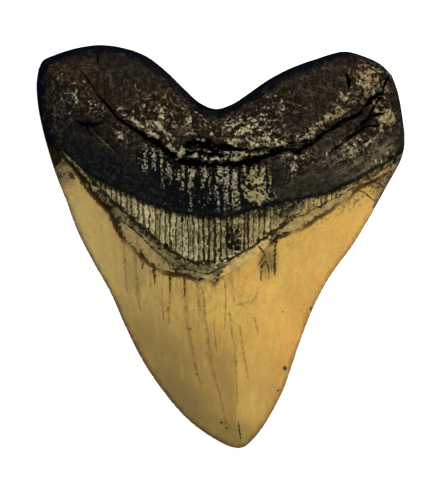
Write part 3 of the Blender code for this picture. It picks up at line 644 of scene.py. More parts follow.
# dark lines on the band and the crown: x, y and half width
inkLines = [
    [(-53.4, 31, 0.3), (-50.4, 28.6, 0.35), (-46.7, 25, 0.35), (-43.4, 22.3, 0.35), (-39.9, 20, 0.25)],
    [(-32.4, 8.6, 0.3), (-29.8, 7, 0.25), (-27.2, 5, 0.28), (-24, 1.8, 0.22), (-20.7, -1.5, 0.28),
     (-17.5, -4.1, 0.22), (-15.9, -7.3, 0.2)],
    [(-15.6, -7.3, 0.15), (-10.4, -7.3, 0.25), (-6.5, -8.3, 0.2), (-3.9, -8.6, 0.3), (0, -6.7, 0.2),
     (3.9, -4.7, 0.15)],
    [(20.1, 7.9, 0.25), (22.4, 9.7, 0.35), (25.2, 10.8, 0.35), (26.3, 13.7, 0.25)],
    [(17.6, 2.6, 0.5), (17.4, 0, 0.42), (17.3, -2.4, 0.4), (17.2, -5, 0.34), (17.3, -8.4, 0.2)],
    [(12.9, -10.6, 0.12), (13, -8, 0.36), (13.3, -6.3, 0.42), (14.4, -4.6, 0.28), (15.2, -6.2, 0.2),
     (15.5, -9.8, 0.1)],
    [(12.6, -0.5, 0.25), (14.2, -2.6, 0.3), (13, -4.2, 0.28), (12.4, -5.2, 0.15)],
    [(46.8, 22.4, 0.2), (48.6, 21, 0.34), (51, 20.4, 0.3), (53.4, 18.2, 0.4)],
    [(44.6, 18, 0.12), (46.4, 17.3, 0.26), (48, 15.9, 0.2), (49.6, 14.9, 0.3)],
    [(47, 23.6, 0.15), (47.6, 21.8, 0.25), (47.4, 20.6, 0.1)],
    [(-50.6, 12.6, 0.2), (-49, 13.2, 0.16)],
    [(-25.3, -2.6, 0.5), (-25.2, -4.6, 0.55), (-25.1, -6.4, 0.2)],
    [(-21.5, -6.9, 0.4), (-21.2, -9.6, 0.35), (-21.1, -11.4, 0.12)],
    [(-16.2, -9.2, 0.4), (-16.2, -11.6, 0.3), (-16.3, -14.6, 0.12)],
    [(-11.6, -9.4, 0.36), (-11.6, -12.6, 0.3), (-11.5, -15.6, 0.15)],
    [(5.8, -56.6, 0.16), (6, -58.6, 0.26), (6.3, -61, 0.22)],
    [(-55.2, 30.6, 0.5), (-53.8, 26.2, 0.6), (-52.7, 22.6, 0.45), (-51.6, 19, 0.2)],
    [(57.4, 26.8, 0.5), (55.4, 23, 0.8), (53.2, 19.2, 0.7), (50.2, 14, 0.4)],
    [(44.4, 20.2, 0.12), (47.8, 20.4, 0.28), (51.6, 22.6, 0.34), (54.8, 24.2, 0.3)],
]
# thin cracks in the enamel: x, y and half width at each point
enamelCracks = [
    [(-31.1, 1.8, 0.12), (-30.8, -2.1, 0.16), (-30.6, -8.6, 0.14), (-30.2, -14, 0.08)],
    [(-27.6, -2.1, 0.14), (-27.2, -7.9, 0.18), (-26.8, -13, 0.24), (-26.4, -17.3, 0.18), (-25.9, -20, 0.08)],
    [(-22.9, -6, 0.1), (-22.6, -9.2, 0.14), (-22.4, -13, 0.08)],
    [(-18.9, -12, 0.08), (-18.7, -18, 0.14), (-18.4, -23, 0.08)],
    [(-16.3, -12, 0.18), (-16.2, -16.4, 0.14), (-16.8, -19.9, 0.16), (-16.6, -24, 0.08)],
    [(-11.6, -12, 0.26), (-11.5, -15.9, 0.26), (-11.2, -20.2, 0.26), (-10.8, -25.2, 0.2), (-9.7, -31, 0.2),
     (-8.7, -35.3, 0.22), (-7.6, -41.1, 0.14), (-6.4, -45, 0.08)],
    [(-7.5, -10.5, 0.2), (-7.2, -15.1, 0.16), (-6.9, -19.6, 0.18), (-6.9, -22.4, 0.08)],
    [(-5, -23.6, 0.1), (-4.4, -27, 0.2), (-4.1, -31, 0.22), (-3.2, -37.5, 0.24), (-2, -41.8, 0.18),
     (-1, -45.4, 0.12)],
    [(-0.4, -47, 0.08), (0.3, -50.6, 0.12), (1.5, -56.2, 0.14)],
    [(-5.8, -13.8, 0.12), (-5.5, -17, 0.18), (-5.1, -21.6, 0.14)],
    [(1.3, -10.5, 0.08), (1.6, -17.7, 0.1), (1.2, -26, 0.08)],
    [(3.2, -10.4, 0.14), (3.9, -12.8, 0.1), (3.5, -14.6, 0.12), (4.4, -17, 0.06)],
    [(5, -18.9, 0.05), (6.6, -18.2, 0.14), (7.4, -19, 0.05)],
    [(9, -18.4, 0.06), (10.2, -17.5, 0.18), (11, -16.4, 0.16), (11.6, -14.8, 0.06)],
    [(2.9, -21.6, 0.1), (3.2, -26, 0.12), (4.3, -31.7, 0.12), (4.7, -36.1, 0.16), (5, -42, 0.1), (5.3, -50, 0.08)],
    [(6.1, -25.2, 0.1), (6.8, -31, 0.12), (7.8, -36.6, 0.12), (8.7, -41.8, 0.1)],
    [(10.8, -23.1, 0.12), (11.9, -27.4, 0.1)],
    [(-2.6, -24, 0.06), (-1.8, -30, 0.1), (-1.4, -34, 0.06)],
]
# the same on the underside
labialCracks = [
    [(-18, 24, 0.16), (-17.2, 16, 0.2), (-17.6, 8, 0.14), (-16.8, 1, 0.06)],
    [(-6, 22.6, 0.2), (-5.6, 12, 0.24), (-5, 2, 0.18), (-5.2, -9, 0.12), (-4.2, -16, 0.05)],
    [(5.4, 22.4, 0.14), (6, 14, 0.2), (5.6, 5, 0.14), (6.2, -4, 0.05)],
    [(14.6, 23, 0.2), (14, 13, 0.22), (14.6, 3, 0.12), (13.8, -3, 0.05)],
    [(26, 24.6, 0.14), (25.2, 18, 0.18), (25.6, 11, 0.06)],
    [(-30, 26.4, 0.14), (-29.2, 18, 0.16), (-29.4, 12, 0.05)],
    [(1, -8, 0.06), (1.6, -20, 0.14), (2.4, -34, 0.16), (3.6, -47, 0.08)],
    [(10.4, -14, 0.05), (10, -24, 0.12), (9.4, -32, 0.05)],
    [(-12, -4, 0.05), (-11, -16, 0.12), (-10.2, -26, 0.05)],
]
labialInk = [
    [(-40, 29.2, 0.3), (-39.6, 26.6, 0.26), (-39.8, 24, 0.1)],
    [(-11.4, 23.6, 0.3), (-11.2, 20.6, 0.22), (-11.5, 17.8, 0.1)],
    [(20, 24, 0.3), (20.3, 21.4, 0.24), (20, 18.8, 0.1)], [(38, 27, 0.26), (37.8, 24.8, 0.1)],
]
labialWornSpots = [
    (-44, 50, 10, 8, 20, 1), (-20, 40, 13, 5, -34, 1.15), (4, 33, 14, 5, 4, 0.9), (36, 46, 12, 7, 30, 1.05),
    (50, 36, 6, 6, 0, 1), (-54, 38, 5, 8, 0, 0.8), (18, 46, 8, 5, 30, 0.8),
]
labialSootySpots = [
    (-34, 38, 13, 5, -30, 0.8), (22, 36, 14, 4, 20, 0.85), (-8, 29, 14, 2.6, -6, 0.9), (46, 54, 8, 5, 0, 0.6),
]
labialStains = [
    (-30, 22, 14, 6, -14, 0.7), (6, 16, 16, 6, 0, 0.6), (36, 20, 12, 5, 18, 0.6), (-6, -20, 6, 22, 0, 0.4),
    (-18, -44, 14, 7, -46, 0.7), (5, -58, 9, 7, 0, 0.7), (22, -8, 6, 16, 16, 0.35),
]
labialSpecks = [
    (-49, 22, 6, 5, -30, 0.5), (48, 20, 6, 5, 30, 0.5), (-24, 20, 5, 3, 0, 0.3), (10, -36, 3, 6, 0, 0.25),
    (28, 20, 6, 3, 0, 0.3),
]
# soft marks: x, y, reach along, reach across, turn in degrees, strength
wornSpots = [
    (-17.8, 42, 12, 7.5, -38, 0.8), (-19, 36.2, 12, 2.6, -38, 1.2), (-26.4, 39.2, 8, 1.8, -38, 1.3),
    (8.8, 37.8, 11.5, 5.6, 8, 1.1), (13, 33.6, 12, 2.2, 4, 1.4), (32.4, 39.4, 11, 1.8, 36, 1.6),
    (48, 53.8, 6.8, 5.6, 0, 1.42), (53, 41.6, 3.4, 4.5, 10, 1.6), (42, 47.6, 8, 4, 30, 0.9),
    (-49, 47, 5.6, 9, 15, 1.02), (-22, 45, 7, 6, -30, 0.45), (-40.4, 44, 7, 3.4, -40, 0.85),
    (-31, 35, 5, 3.4, -40, 0.95), (12.2, 15.4, 5.6, 4.4, 0, 1.95), (11.6, 21, 4.2, 4.6, 0, 1.45),
    (24, 27.6, 9, 3.6, 12, 1.04), (24, 22.4, 7, 2.4, 14, 0.6), (43, 32, 12, 4.4, 26, 0.95),
    (-2, 12.4, 17, 1.6, 4, 0.9), (17.5, 44, 12, 6, 30, 0.7), (-50.6, 33.6, 4, 4, -50, 0.7),
    (52, 27.4, 6.5, 2.6, 30, 1.1), (-10, 40, 7, 6, -30, 0.7), (-40, 55, 10, 5, -5, 0.15), (-1, 40, 5, 6, 0, 0.25),
    (50.6, 47.6, 3.4, 6, 0, 1.2), (-52.6, 40, 4, 9, 0, 0.75), (30, 52, 14, 6, 20, 0.25),
]
sootySpots = [
    (-36, 24.6, 17, 6.4, -30, 1), (-24, 19.4, 14, 4.6, -20, 1), (-17.8, 16.6, 12, 3.6, -14, 1),
    (28.6, 20.4, 14, 3.6, 14, 0.45), (-6, 31, 8, 3.2, -6, 1), (-43, 38.4, 5, 3.2, -20, 0.8), (2, 17.8, 5, 3, 0, 0.4),
    (2, 28.6, 11, 2.4, 2, 0.9), (-19, 28, 3, 4, -30, 0.6), (18.6, 23, 2.2, 5, 0, 0.6), (-46, 31, 6, 4, -50, 0.85),
    (-50, 46, 6, 8, 15, 0.22), (2, 12.4, 17, 2, 4, 0.9), (-30, 58, 14, 3.6, -12, 0.28), (-49, 36, 5, 5, 0, 0.6),
    (-34, 31, 7, 4, -34, 0.5),
]
rustySpots = [
    (-46.2, 55, 6, 3.6, -12, 1), (-41, 51, 4, 3, -40, 0.6), (-24, 44, 8, 7, 0, 0.35), (50.6, 36.6, 5, 3.4, 20, 0.4),
    (47, 56.6, 5, 3, 0, 0.5), (-52, 58, 4, 3, 0, 0.3),
]
# warm tan places, and soft strokes that run along the lip
tannedSpots = [
    (48, 50, 12, 12, 0, 1), (54, 40, 8, 10, 0, 1), (37, 42, 12, 4, 36, 0.8), (24, 34, 10, 2.4, 20, 0.35),
    (-18, 50, 8, 6, -40, 0.4),
]
brushedSpots = [(46, 27.4, 15, 5, 27, 1), (30, 21.6, 9, 4.2, 20, 0.65), (40, 32.4, 9, 2.4, 36, 0.5)]
# upright streaks between the crack and the lip
streakySpots = [
    (-20.6, 27.2, 7.4, 5.2, -34, 0.74), (-11, 22.4, 11, 6.4, -12, 0.82), (4, 20.6, 9, 6.6, 2, 1),
    (11.6, 20.4, 5, 6, 0, 0.85), (-4, 14, 17, 3.2, 0, 0.62), (2, 29, 12, 2.6, 4, 0.7),
]
# single cream flakes
creamSpots = [
    (-12.6, 29.9, 2.4, 1.2, 62, 1), (-15.8, 31.6, 2.2, 1, -38, 0.95), (-8.1, 29.3, 1.1, 0.6, 10, 0.8),
    (-7.2, 31, 1, 0.5, 0, 0.7), (-5, 28, 0.8, 0.7, 0, 0.85), (-2.8, 28.1, 0.8, 0.5, 0, 0.8),
    (-1.8, 31.2, 0.7, 0.4, 0, 0.6), (0, 27.3, 1, 0.4, 0, 0.7), (4.7, 28, 2, 0.7, 0, 1),
    (8.1, 29.5, 1.3, 0.5, -8, 0.9), (12.2, 29.7, 3, 0.5, 9, 1), (2.4, 33.6, 1.3, 0.9, 0, 0.8),
    (5, 33.9, 1.9, 1, 0, 0.85), (-10.1, 40.6, 1, 1.8, 0, 0.8), (-3, 35.8, 1.3, 0.8, -20, 0.55),
    (-0.2, 24.4, 1.2, 1.7, 0, 0.95), (-0.6, 21.2, 1, 1.2, 0, 0.9), (2.3, 21.6, 0.8, 1.7, 0, 0.9),
    (4.6, 22.2, 0.9, 2.6, 0, 1), (3.9, 19.2, 0.8, 1.2, 0, 0.8), (-8.9, 23.4, 1, 1.9, 0, 0.8),
    (-5, 23.4, 0.7, 2.2, 0, 0.8), (-43.6, 52.7, 1.1, 0.5, 20, 0.7), (-9.2, 19.6, 0.8, 2, 0, 0.7),
    (10.6, 16.4, 0.8, 2.6, 0, 0.9), (12.6, 15, 0.8, 2.2, 0, 0.9), (14.6, 15.6, 0.6, 1.6, 0, 0.7),
    (13, 22, 0.7, 2.4, 0, 0.8), (9.6, 22.4, 0.8, 1.6, 0, 0.75), (-32.6, 36.2, 1.2, 0.7, -38, 0.8),
    (-27, 40, 3.4, 0.6, -36, 0.9), (-21.4, 36, 3.4, 0.7, -36, 0.95), (-43.4, 19.8, 1.5, 0.8, -30, 0.8),
    (-39.8, 18.6, 1.6, 0.7, -30, 0.7), (-0.6, -4.9, 1.1, 0.6, 20, 0.9), (3.4, -2.9, 1.3, 0.5, 20, 0.9),
    (-3.2, -5.6, 0.8, 0.6, 0, 0.8), (-5.6, -5.2, 0.8, 0.5, 0, 0.7), (-7.8, -4.4, 0.8, 0.55, 0, 0.8),
    (1.4, -4.4, 0.9, 0.5, 0, 0.85), (-1.8, -6.2, 0.7, 0.5, 0, 0.7), (-4.4, -6.6, 0.6, 0.5, 0, 0.65),
    (5.4, -1.6, 0.7, 0.5, 20, 0.8), (53, 42.6, 1.2, 1.8, 0, 0.7), (28.6, 36.4, 4.2, 0.6, 36, 0.85),
    (38.2, 42.4, 3.4, 0.7, 34, 0.8), (19.4, 32.8, 4.4, 0.6, 10, 0.85), (-17, 24, 0.8, 1.8, 0, 0.6),
    (-13.4, 22.6, 0.8, 2.2, 0, 0.65), (-21.4, 28.6, 0.9, 1.8, 0, 0.6), (-9.6, 30.6, 1.2, 0.5, 20, 0.8),
    (-4.4, 30.4, 1.2, 0.45, -6, 0.75), (1.8, 29.9, 1.3, 0.45, 6, 0.85), (6.4, 28.8, 1.2, 0.5, 0, 0.85),
    (-3.4, 26.9, 1.2, 0.4, 0, 0.7), (9.8, 31.6, 1.6, 0.5, 6, 0.75), (-6.2, 34.2, 1.2, 0.6, 0, 0.7),
    (7.6, 25, 0.7, 1.2, 0, 0.8), (2, 25, 0.6, 1, 0, 0.7), (20.2, 28.3, 2.8, 0.7, 14, 0.62),
    (27, 28.7, 1.3, 1.2, 0, 0.62), (23.4, 26, 0.7, 2, -20, 0.6), (-9, 29, 1.6, 0.6, 0, 0.8),
    (-1, 28.2, 1.6, 0.6, 0, 0.85), (6.6, 29.9, 2.2, 0.5, -6, 0.85),
]
# darker, mossy and paler parts of the bourlette and of the strip below it, and holes in it
bandShades = [
    (-3, 5.6, 10, 8, 0, 0.55), (4, 3.4, 4.6, 6, 0, 1.15), (12.8, 10.6, 4, 1.8, 8, 1), (19.6, 12.2, 6, 2, 16, 0.9),
    (-40, 21, 5, 1.2, -38, 0.45), (-47.4, 26.4, 7, 1.6, -42, 0.6), (15.6, 12.4, 4.6, 2.3, 8, 1),
    (21.6, 13, 4.6, 2.6, 14, 1), (18.4, 10.6, 3, 2, -10, 0.9), (1, -2.2, 8, 1.2, 12, 0.3),
    (-12.4, 12, 18, 1.6, -14, 0.3), (-36.8, 12.4, 4.4, 2, -46, 0.9), (-22, 2.4, 9, 0.6, -40, 0.6),
    (-12, -5.2, 6, 0.7, -14, 0.3), (5.8, 0.4, 4, 1.2, 16, 0.9), (55, 27, 4, 1.6, 30, 0.5), (7.4, 7.4, 3.4, 6, 0, 0.7),
    (-9, 7.4, 6, 5, 0, 0.4), (-54.4, 29.8, 5.4, 4, -50, 1.5),
]
bandMosses = [
    (-37, 13.4, 5, 2.6, -44, 0.8), (-10, -6.2, 6, 1.2, -8, 0.6), (-2, -6.6, 5, 1, 8, 0.6),
    (-25, 4.6, 9, 1.4, -40, 0.35), (-47, 25.6, 6, 2, -46, 0.6),
]
bandTans = [
    (-25.8, 0.6, 10, 2.1, -45, 1), (-17.6, -7.2, 3.4, 1.6, -24, 0.85), (24, 8, 9, 2.6, 28, 1.2),
    (36, 14.8, 12, 2.6, 30, 1.2), (47, 21.4, 9, 2.4, 32, 0.9), (14.6, 3.6, 4, 2, 20, 0.5),
    (-3.4, -9.8, 3.4, 1.3, -10, 0.6), (0.9, -9.2, 1.8, 1, 30, 0.7), (-41.2, 18.6, 2.6, 1.4, -40, 0.6),
]
bandPales = [(8.4, -3.8, 7.6, 2.8, 32, 1), (2.4, -7.6, 2.8, 1.6, 26, 0.8), (13, 0.2, 3.4, 1.6, 30, 0.8)]
bandHoles = [
    (5.2, 5, 0.8, 0.9, 0, 1), (5.3, -0.4, 1, 1, 0, 1), (5.2, 2, 0.5, 1.2, 0, 0.7), (2, 2.6, 0.6, 2.2, 0, 0.9),
    (2.9, 0.2, 0.8, 1.4, 20, 0.9), (-17.4, 0.4, 1, 0.7, -30, 1), (-12.4, 8.6, 0.5, 1.2, 0, 0.9),
    (-7, 1.6, 0.35, 0.9, 0, 0.8), (-34.8, 13, 0.7, 0.9, 0, 0.6), (-50.4, 25.2, 0.9, 0.7, -30, 0.8),
    (-22.6, 9.8, 0.3, 1, 0, 0.8), (-20.2, 9.4, 0.3, 1, 0, 0.8), (-28.8, 12.8, 0.5, 0.7, 0, 0.7),
    (-0.6, -1.2, 0.9, 0.5, 0, 0.7),
]
# how heavy the dark line along the enamel's edge is
edgeDarks = [
    (-43, 18.6, 12, 5, -46, 1), (-33, 6.6, 6, 4, -60, 0.75), (-24, -4, 8, 4, -40, 0.5), (-12, -9, 9, 3, -4, 0.6),
    (-1, -11.4, 5, 3, 0, 0.3), (19, 3.2, 5, 4, 30, 0.62), (31, 9.4, 10, 4, 34, 0.48), (46, 19.6, 8, 4, 32, 0.48),
]
# olive and brown stains on the crown, with painted shade towards the lower left and the tip; places full of specks,
# and single dark spots
crownStainsAndShade = [
    (-16, -13, 9, 6, -20, 0.2), (-20, -16, 7, 12, -20, 0.18), (4, -62, 11, 6.5, 0, 1.05),
    (-27, -33, 5, 16, -30, 0.45), (-13, -51, 17, 8, -46, 1.3), (-5, -53, 5, 4, -40, 0.5),
    (15, -4.6, 3.2, 5.4, 0, 1.35), (14, 1.2, 5, 2.4, 26, 0.8), (-50.6, 23.6, 4.2, 4.6, -40, 1.5),
    (-28, -6, 5, 10, 0, 0.42), (2, -44, 3.2, 14, 8, 0.2), (-16, -36, 7, 14, -24, 0.22), (25, -16, 5, 9, 20, 0.22),
    (12.6, 1, 3, 2, 30, 0.5), (52.6, 20.4, 5, 5.4, 30, 1.5), (44, 16.4, 8, 1.8, 32, 0.5),
]
speckledSpots = [
    (42, 13.8, 8, 1.8, 27, 1), (-49.4, 23.4, 4.6, 2.6, -50, 1), (-47.6, 15.6, 2.6, 4, -20, 0.45),
    (22, 1.6, 5, 2, 26, 0.55), (27.4, -22.6, 1.6, 6, 14, 0.45), (14.9, -5.6, 1.4, 4.4, 0, 0.7),
    (52.2, 20.2, 4.6, 4.4, 30, 1.9), (1, -57.4, 2.6, 2.2, -40, 0.6), (7.6, -16.4, 3, 3, 0, 0.5),
    (-51.6, 24.6, 3.6, 3, 0, 1.8), (34, 8.6, 6, 1.4, 34, 0.5),
]
crownSpots = [
    (20.7, -39.1, 0.8, 0.8, 0, 1), (54.2, 22.6, 1.3, 0.8, 30, 1), (50.6, 19.2, 0.9, 0.6, 30, 0.9),
    (47.8, 19.6, 0.7, 0.5, 30, 0.8), (18.5, -46.2, 0.6, 0.6, 0, 0.9), (-47.9, 22.8, 1.3, 0.9, -50, 1.2),
    (-52.2, 23, 1.1, 1.4, 0, 1.1), (-50.4, 23.6, 0.6, 0.6, 0, 0.9), (-16.9, -19.9, 0.55, 0.55, 0, 0.8),
    (-7.6, -40.8, 0.5, 0.6, 0, 0.8), (20.1, -20.8, 1, 0.4, 20, 0.6), (29.3, -19.9, 0.8, 1, 20, 0.8),
    (27, -25.1, 0.5, 0.8, 20, 0.7), (0.3, -56.6, 0.9, 0.7, -40, 0.7), (1.8, -58.3, 0.9, 0.6, -40, 0.7),
    (-30.9, -4.4, 0.4, 0.7, 0, 0.7), (-9.8, -26.4, 0.5, 0.8, 0, 0.7), (-48.9, 17.2, 1.2, 0.8, 0, 0.4),
    (10.4, -16.9, 0.9, 0.4, 30, 0.6),
]

toothForm = {
    "width": 118.6,  # across the root
    "height": 130.0,  # tip to the top of the left lobe
    "crest": 26.4,  # highest point of the root
    "lobeCrest": 15.5,  # the same at the ends of the lobes
    "crestFall": 1.25,
    "rootRim": 7.4,  # height of the outline around the root
    "crownRim": 3.4,  # height of the cutting edges
    "tipTop": 3.5,
    "crownTop": 22.8,  # middle of the crown side at the lip
    "bladeFullness": 2.0,
    "shoulderFullness": 3.5,
    "ridgeShift": 0.22,  # share of the half width by which that ridge lies to the right
    "ridgeSharpness": 0.55,  # how keen the blade's middle ridge gets towards the tip
    "rootRounding": 15.0,
    "labialRounding": 9.0,
    "lipDrop": 0.1,
    "lipReach": 16.0,
    "dentineStep": 0.3,
    "enamelStep": 0.55,
    "lumpHeight": 0.75,
    "lumpSize": 9.0,
    "labialHollow": 1.5,
    "labialStep": 0.5,
    "labialBulge": 1.1,
    "tipLift": 2.1,
    "lipLine": 9.8,  # y of the lip's lowest stretch
    "tipArc": 5.0,  # length of outline on each side of the tip that the last row takes
    "tipY": -65.0,
    "columns": 320,  # across the upper side, twice the lower side's
    "barPitch": 1.76,  # upright bars of the bourlette
    "barHeight": 0.32,
    "grainHeight": 0.22,
    "poreDepth": 0.4,
    "hairDepth": 0.07,
    "sawPitch": 0.85,  # saw teeth of the cutting edge
    "sawDepth": 0.26,
    "sawCuts": 5,
    "sawTop": 21.0,  # y where the saw teeth end
    "sawReach": 1.6,  # how far in from the edge they reach
}
farAway = 20.0  # a distance at which no line shows


def smoothStep(value, low, high):
    share = np.clip((value - low) / (high - low), 0.0, 1.0)
    return share * share * (3.0 - 2.0 * share)


def shareAlong(line):
    steps = np.linalg.norm(np.diff(line[:, :2], axis=0), axis=1)
    total = np.concatenate([[0.0], np.cumsum(steps)])
    return total / max(total[-1], 1e-9)


def lineAt(line, shares):
    place = shareAlong(line)
    return np.column_stack([np.interp(shares, place, line[:, k]) for k in range(line.shape[1])])


def mixedAt(t, t0, t1, p0, p1):
    return (t1 - t) / (t1 - t0) * p0 + (t - t0) / (t1 - t0) * p1


# A smooth curve through the points, evenly spaced
def smoothLine(points, count=1200):
    knots = np.array(points, float)
    knots = np.vstack([2 * knots[0] - knots[1], knots, 2 * knots[-1] - knots[-2]])
    gaps = np.sqrt(np.linalg.norm(np.diff(knots[:, :2], axis=0), axis=1))
    times = np.concatenate([[0.0], np.cumsum(gaps)])
    parts = []
    for i in range(1, len(knots) - 2):
        p0, p1, p2, p3 = knots[i - 1:i + 3]
        t0, t1, t2, t3 = times[i - 1:i + 3]
        t = np.linspace(t1, t2, 24, endpoint=False)[:, None]
        a1, a2, a3 = mixedAt(t, t0, t1, p0, p1), mixedAt(t, t1, t2, p1, p2), mixedAt(t, t2, t3, p2, p3)
        b1, b2 = mixedAt(t, t0, t2, a1, a2), mixedAt(t, t1, t3, a2, a3)
        parts.append(mixedAt(t, t1, t2, b1, b2))
    parts.append(knots[-2:-1])
    return lineAt(np.vstack(parts), np.linspace(0.0, 1.0, count))


def smoothLines(lines, count=300):
    return [smoothLine(points, count) for points in lines]


# The same line made ragged sideways, calm at its ends
def raggedLine(line, size, seed):
    tangent = np.gradient(line[:, :2], axis=0)
    tangent /= np.maximum(np.linalg.norm(tangent, axis=1), 1e-9)[:, None]
    calm = np.sin(np.pi * shareAlong(line)) ** 0.35
    wave = np.zeros(len(line))
    for pitch, part in ((6.0, 0.9), (2.4, 0.7), (1.0, 0.4)):
        wave += part * noiseOver(line[:, 0], line[:, 1], pitch, seed)
    ragged = line.copy()
    ragged[:, 0] -= tangent[:, 1] * wave * size * calm
    ragged[:, 1] += tangent[:, 0] * wave * size * calm
    return ragged


def noiseOver(x, y, size, seed):
    return np.array([noise.noise(Vector((a / size, b / size, seed))) for a, b in zip(x, y)])


# Pits that have an even floor and soft walls, where cells of the noise come near a centre
def poresOver(x, y, size, seed, reach):
    near = np.array([noise.voronoi(Vector((a / size, b / size, seed)))[0][0] for a, b in zip(x, y)])
    return 1.0 - smoothStep(near, reach * 0.4, reach)


leftEdge, rightEdge = smoothLine(leftBorder), smoothLine(rightBorder)
outline = np.vstack([smoothLine(rootOutline), rightEdge[1:], leftEdge[-2::-1]])
outlineMiddle = (outline.min(axis=0) + outline.max(axis=0)) / 2.0
outlineScale = np.array([toothForm["width"], toothForm["height"]]) / np.ptp(outline, axis=0)
lipCurve = raggedLine(smoothLine(rootLip), 0.5, 11.3)
bandCurve = raggedLine(smoothLine(bourletteEdge), 0.3, 23.1)
enamelCurve = raggedLine(smoothLine(enamelEdge), 0.55, 37.9)


def lineLength(line):
    return np.linalg.norm(np.diff(line, axis=0), axis=1).sum()


arcShares = [1.0 - toothForm["tipArc"] / lineLength(edge) for edge in (leftEdge, rightEdge)]
tipArc = np.vstack([lineAt(leftEdge, np.linspace(arcShares[0], 1.0, 60)),
                    lineAt(rightEdge, np.linspace(1.0, arcShares[1], 60))[1:]])
tipCurve = lineAt(tipArc, np.linspace(0.0, 1.0, 600))
lingualCurves = [smoothLine(rootOutline), smoothLine(mainCrack), lipCurve, bandCurve, enamelCurve, tipCurve]
labialCurves = [smoothLine(rootOutline), smoothLine(labialRootLine),
                raggedLine(smoothLine(labialEnamelEdge), 0.5, 51.7), smoothLine(labialFaceLine),
                smoothLine(labialCrownLine), tipCurve]


def borderShare(edge, point):
    return shareAlong(edge)[np.linalg.norm(edge - np.array(point), axis=1).argmin()]


rowEnds = (rootOutline, mainCrack, rootLip, bourletteEdge, enamelEdge)
leftShares = [borderShare(leftEdge, line[0]) for line in rowEnds] + [arcShares[0]]
rightShares = [borderShare(rightEdge, line[-1]) for line in rowEnds] + [arcShares[1]]


# One row of points from border to border; level 0 is the root's outline and level 5 the tip
def rowPoints(curves, level, shares):
    band = min(int(level), 4)
    mixed = level - band
    row = lineAt(curves[band], shares) * (1.0 - mixed) + lineAt(curves[band + 1], shares) * mixed
    left = lineAt(leftEdge, [np.interp(level, range(6), leftShares)])[0]
    right = lineAt(rightEdge, [np.interp(level, range(6), rightShares)])[0]
    return row + np.outer(1.0 - shares, left - row[0]) + np.outer(shares, right - row[-1])


def treeOf(points):
    tree = kdtree.KDTree(len(points))
    for i, (x, y) in enumerate(points):
        tree.insert((x, y, 0.0), i)
    tree.balance()
    return tree


# Distance from a set of lines, with the side, and the nearest point's own width
def nearLines(points, lines, spacing=0.08):
    samples, tangents, widths = [], [], []
    for line in lines:
        count = max(int(lineLength(line[:, :2]) / spacing), 4)
        even = lineAt(line, np.linspace(0.0, 1.0, count))
        step = np.gradient(even[:, :2], axis=0)
        samples.append(even[:, :2])
        tangents.append(step / np.maximum(np.linalg.norm(step, axis=1), 1e-9)[:, None])
        widths.append(even[:, 2] if line.shape[1] > 2 else np.ones(count))
    samples, tangents, widths = np.vstack(samples), np.vstack(tangents), np.concatenate(widths)
    tree = treeOf(samples)
    found = [tree.find((x, y, 0.0)) for x, y in points]
    index = np.array([hit[1] for hit in found])
    away = np.array([hit[2] for hit in found])
    offset = points - samples[index]
    side = tangents[index, 0] * offset[:, 1] - tangents[index, 1] * offset[:, 0]
    return side, away, widths[index]


def acrossTooth(points):
    left = np.interp(-points[:, 1], -leftEdge[:, 1], leftEdge[:, 0])
    right = np.interp(-points[:, 1], -rightEdge[:, 1], rightEdge[:, 0])
    return np.clip(2.0 * (points[:, 0] - left) / np.maximum(right - left, 1e-9) - 1.0, -1.0, 1.0)


def turnedOver(distance, reach):
    inward = np.clip(distance / reach, 0.0, 1.0)
    return np.sqrt(1.0 - (1.0 - inward) ** 2)


# Between two of the tooth's measures
def formBetween(first, last, share):
    return toothForm[first] + (toothForm[last] - toothForm[first]) * share


def rimHeight(y):
    return formBetween("crownRim", "rootRim", smoothStep(y, 16.0, 40.0))


def lumpsOver(x, y):
    size = toothForm["lumpSize"]
    return toothForm["lumpHeight"] * (noiseOver(x, y, size, 3.0 / size) +
                                      0.45 * noiseOver(x, y, size / 2.2, 41.0 / size * 2.2))


def softSpots(points, spots):
    total = np.zeros(len(points))
    for x, y, along, acrossReach, turn, strength in spots:
        c, s = math.cos(math.radians(turn)), math.sin(math.radians(turn))
        dx, dy = points[:, 0] - x, points[:, 1] - y
        reach = ((dx * c + dy * s) / along) ** 2 + ((dy * c - dx * s) / acrossReach) ** 2
        total = np.maximum(total, strength * np.exp(-(reach ** 1.5)))
    return total


crackLines = [smoothLine(points, 400) for points, _ in rootCracks]
hairLines = smoothLines(enamelCracks)


def crackGroove(points):
    depth = np.zeros(len(points))
    for line, (_, deep) in zip(crackLines, rootCracks):
        near = ((points[:, 0] > line[:, 0].min() - 3) & (points[:, 0] < line[:, 0].max() + 3)
                & (points[:, 1] > line[:, 1].min() - 3) & (points[:, 1] < line[:, 1].max() + 3))
        if near.any():
            _, away, width = nearLines(points[near], [line])
            depth[near] = np.maximum(depth[near], deep * (1.0 - smoothStep(away / width, 0.5, 1.55)))
    return depth


def barPhase(points):
    x, y = points.T
    drift = 0.5 * noiseOver(x, np.zeros(len(x)), 6.0, 5.5) + 0.22 * noiseOver(x, y, 7.0, 8.8)
    return (x + 1.2 * drift) / toothForm["barPitch"]


def barStrength(points):
    x = points[:, 0]
    ragged = x + 2.0 * noiseOver(x * 0.3, points[:, 1], 1.9, 15.5)
    main = smoothStep(x, -42.0, -35.0) * (1.0 - smoothStep(ragged, 15.4, 17.4))
    right = smoothStep(x, 26.0, 27.0) * (1.0 - smoothStep(x, 35.0, 41.0))
    return np.maximum(main, 0.8 * right)


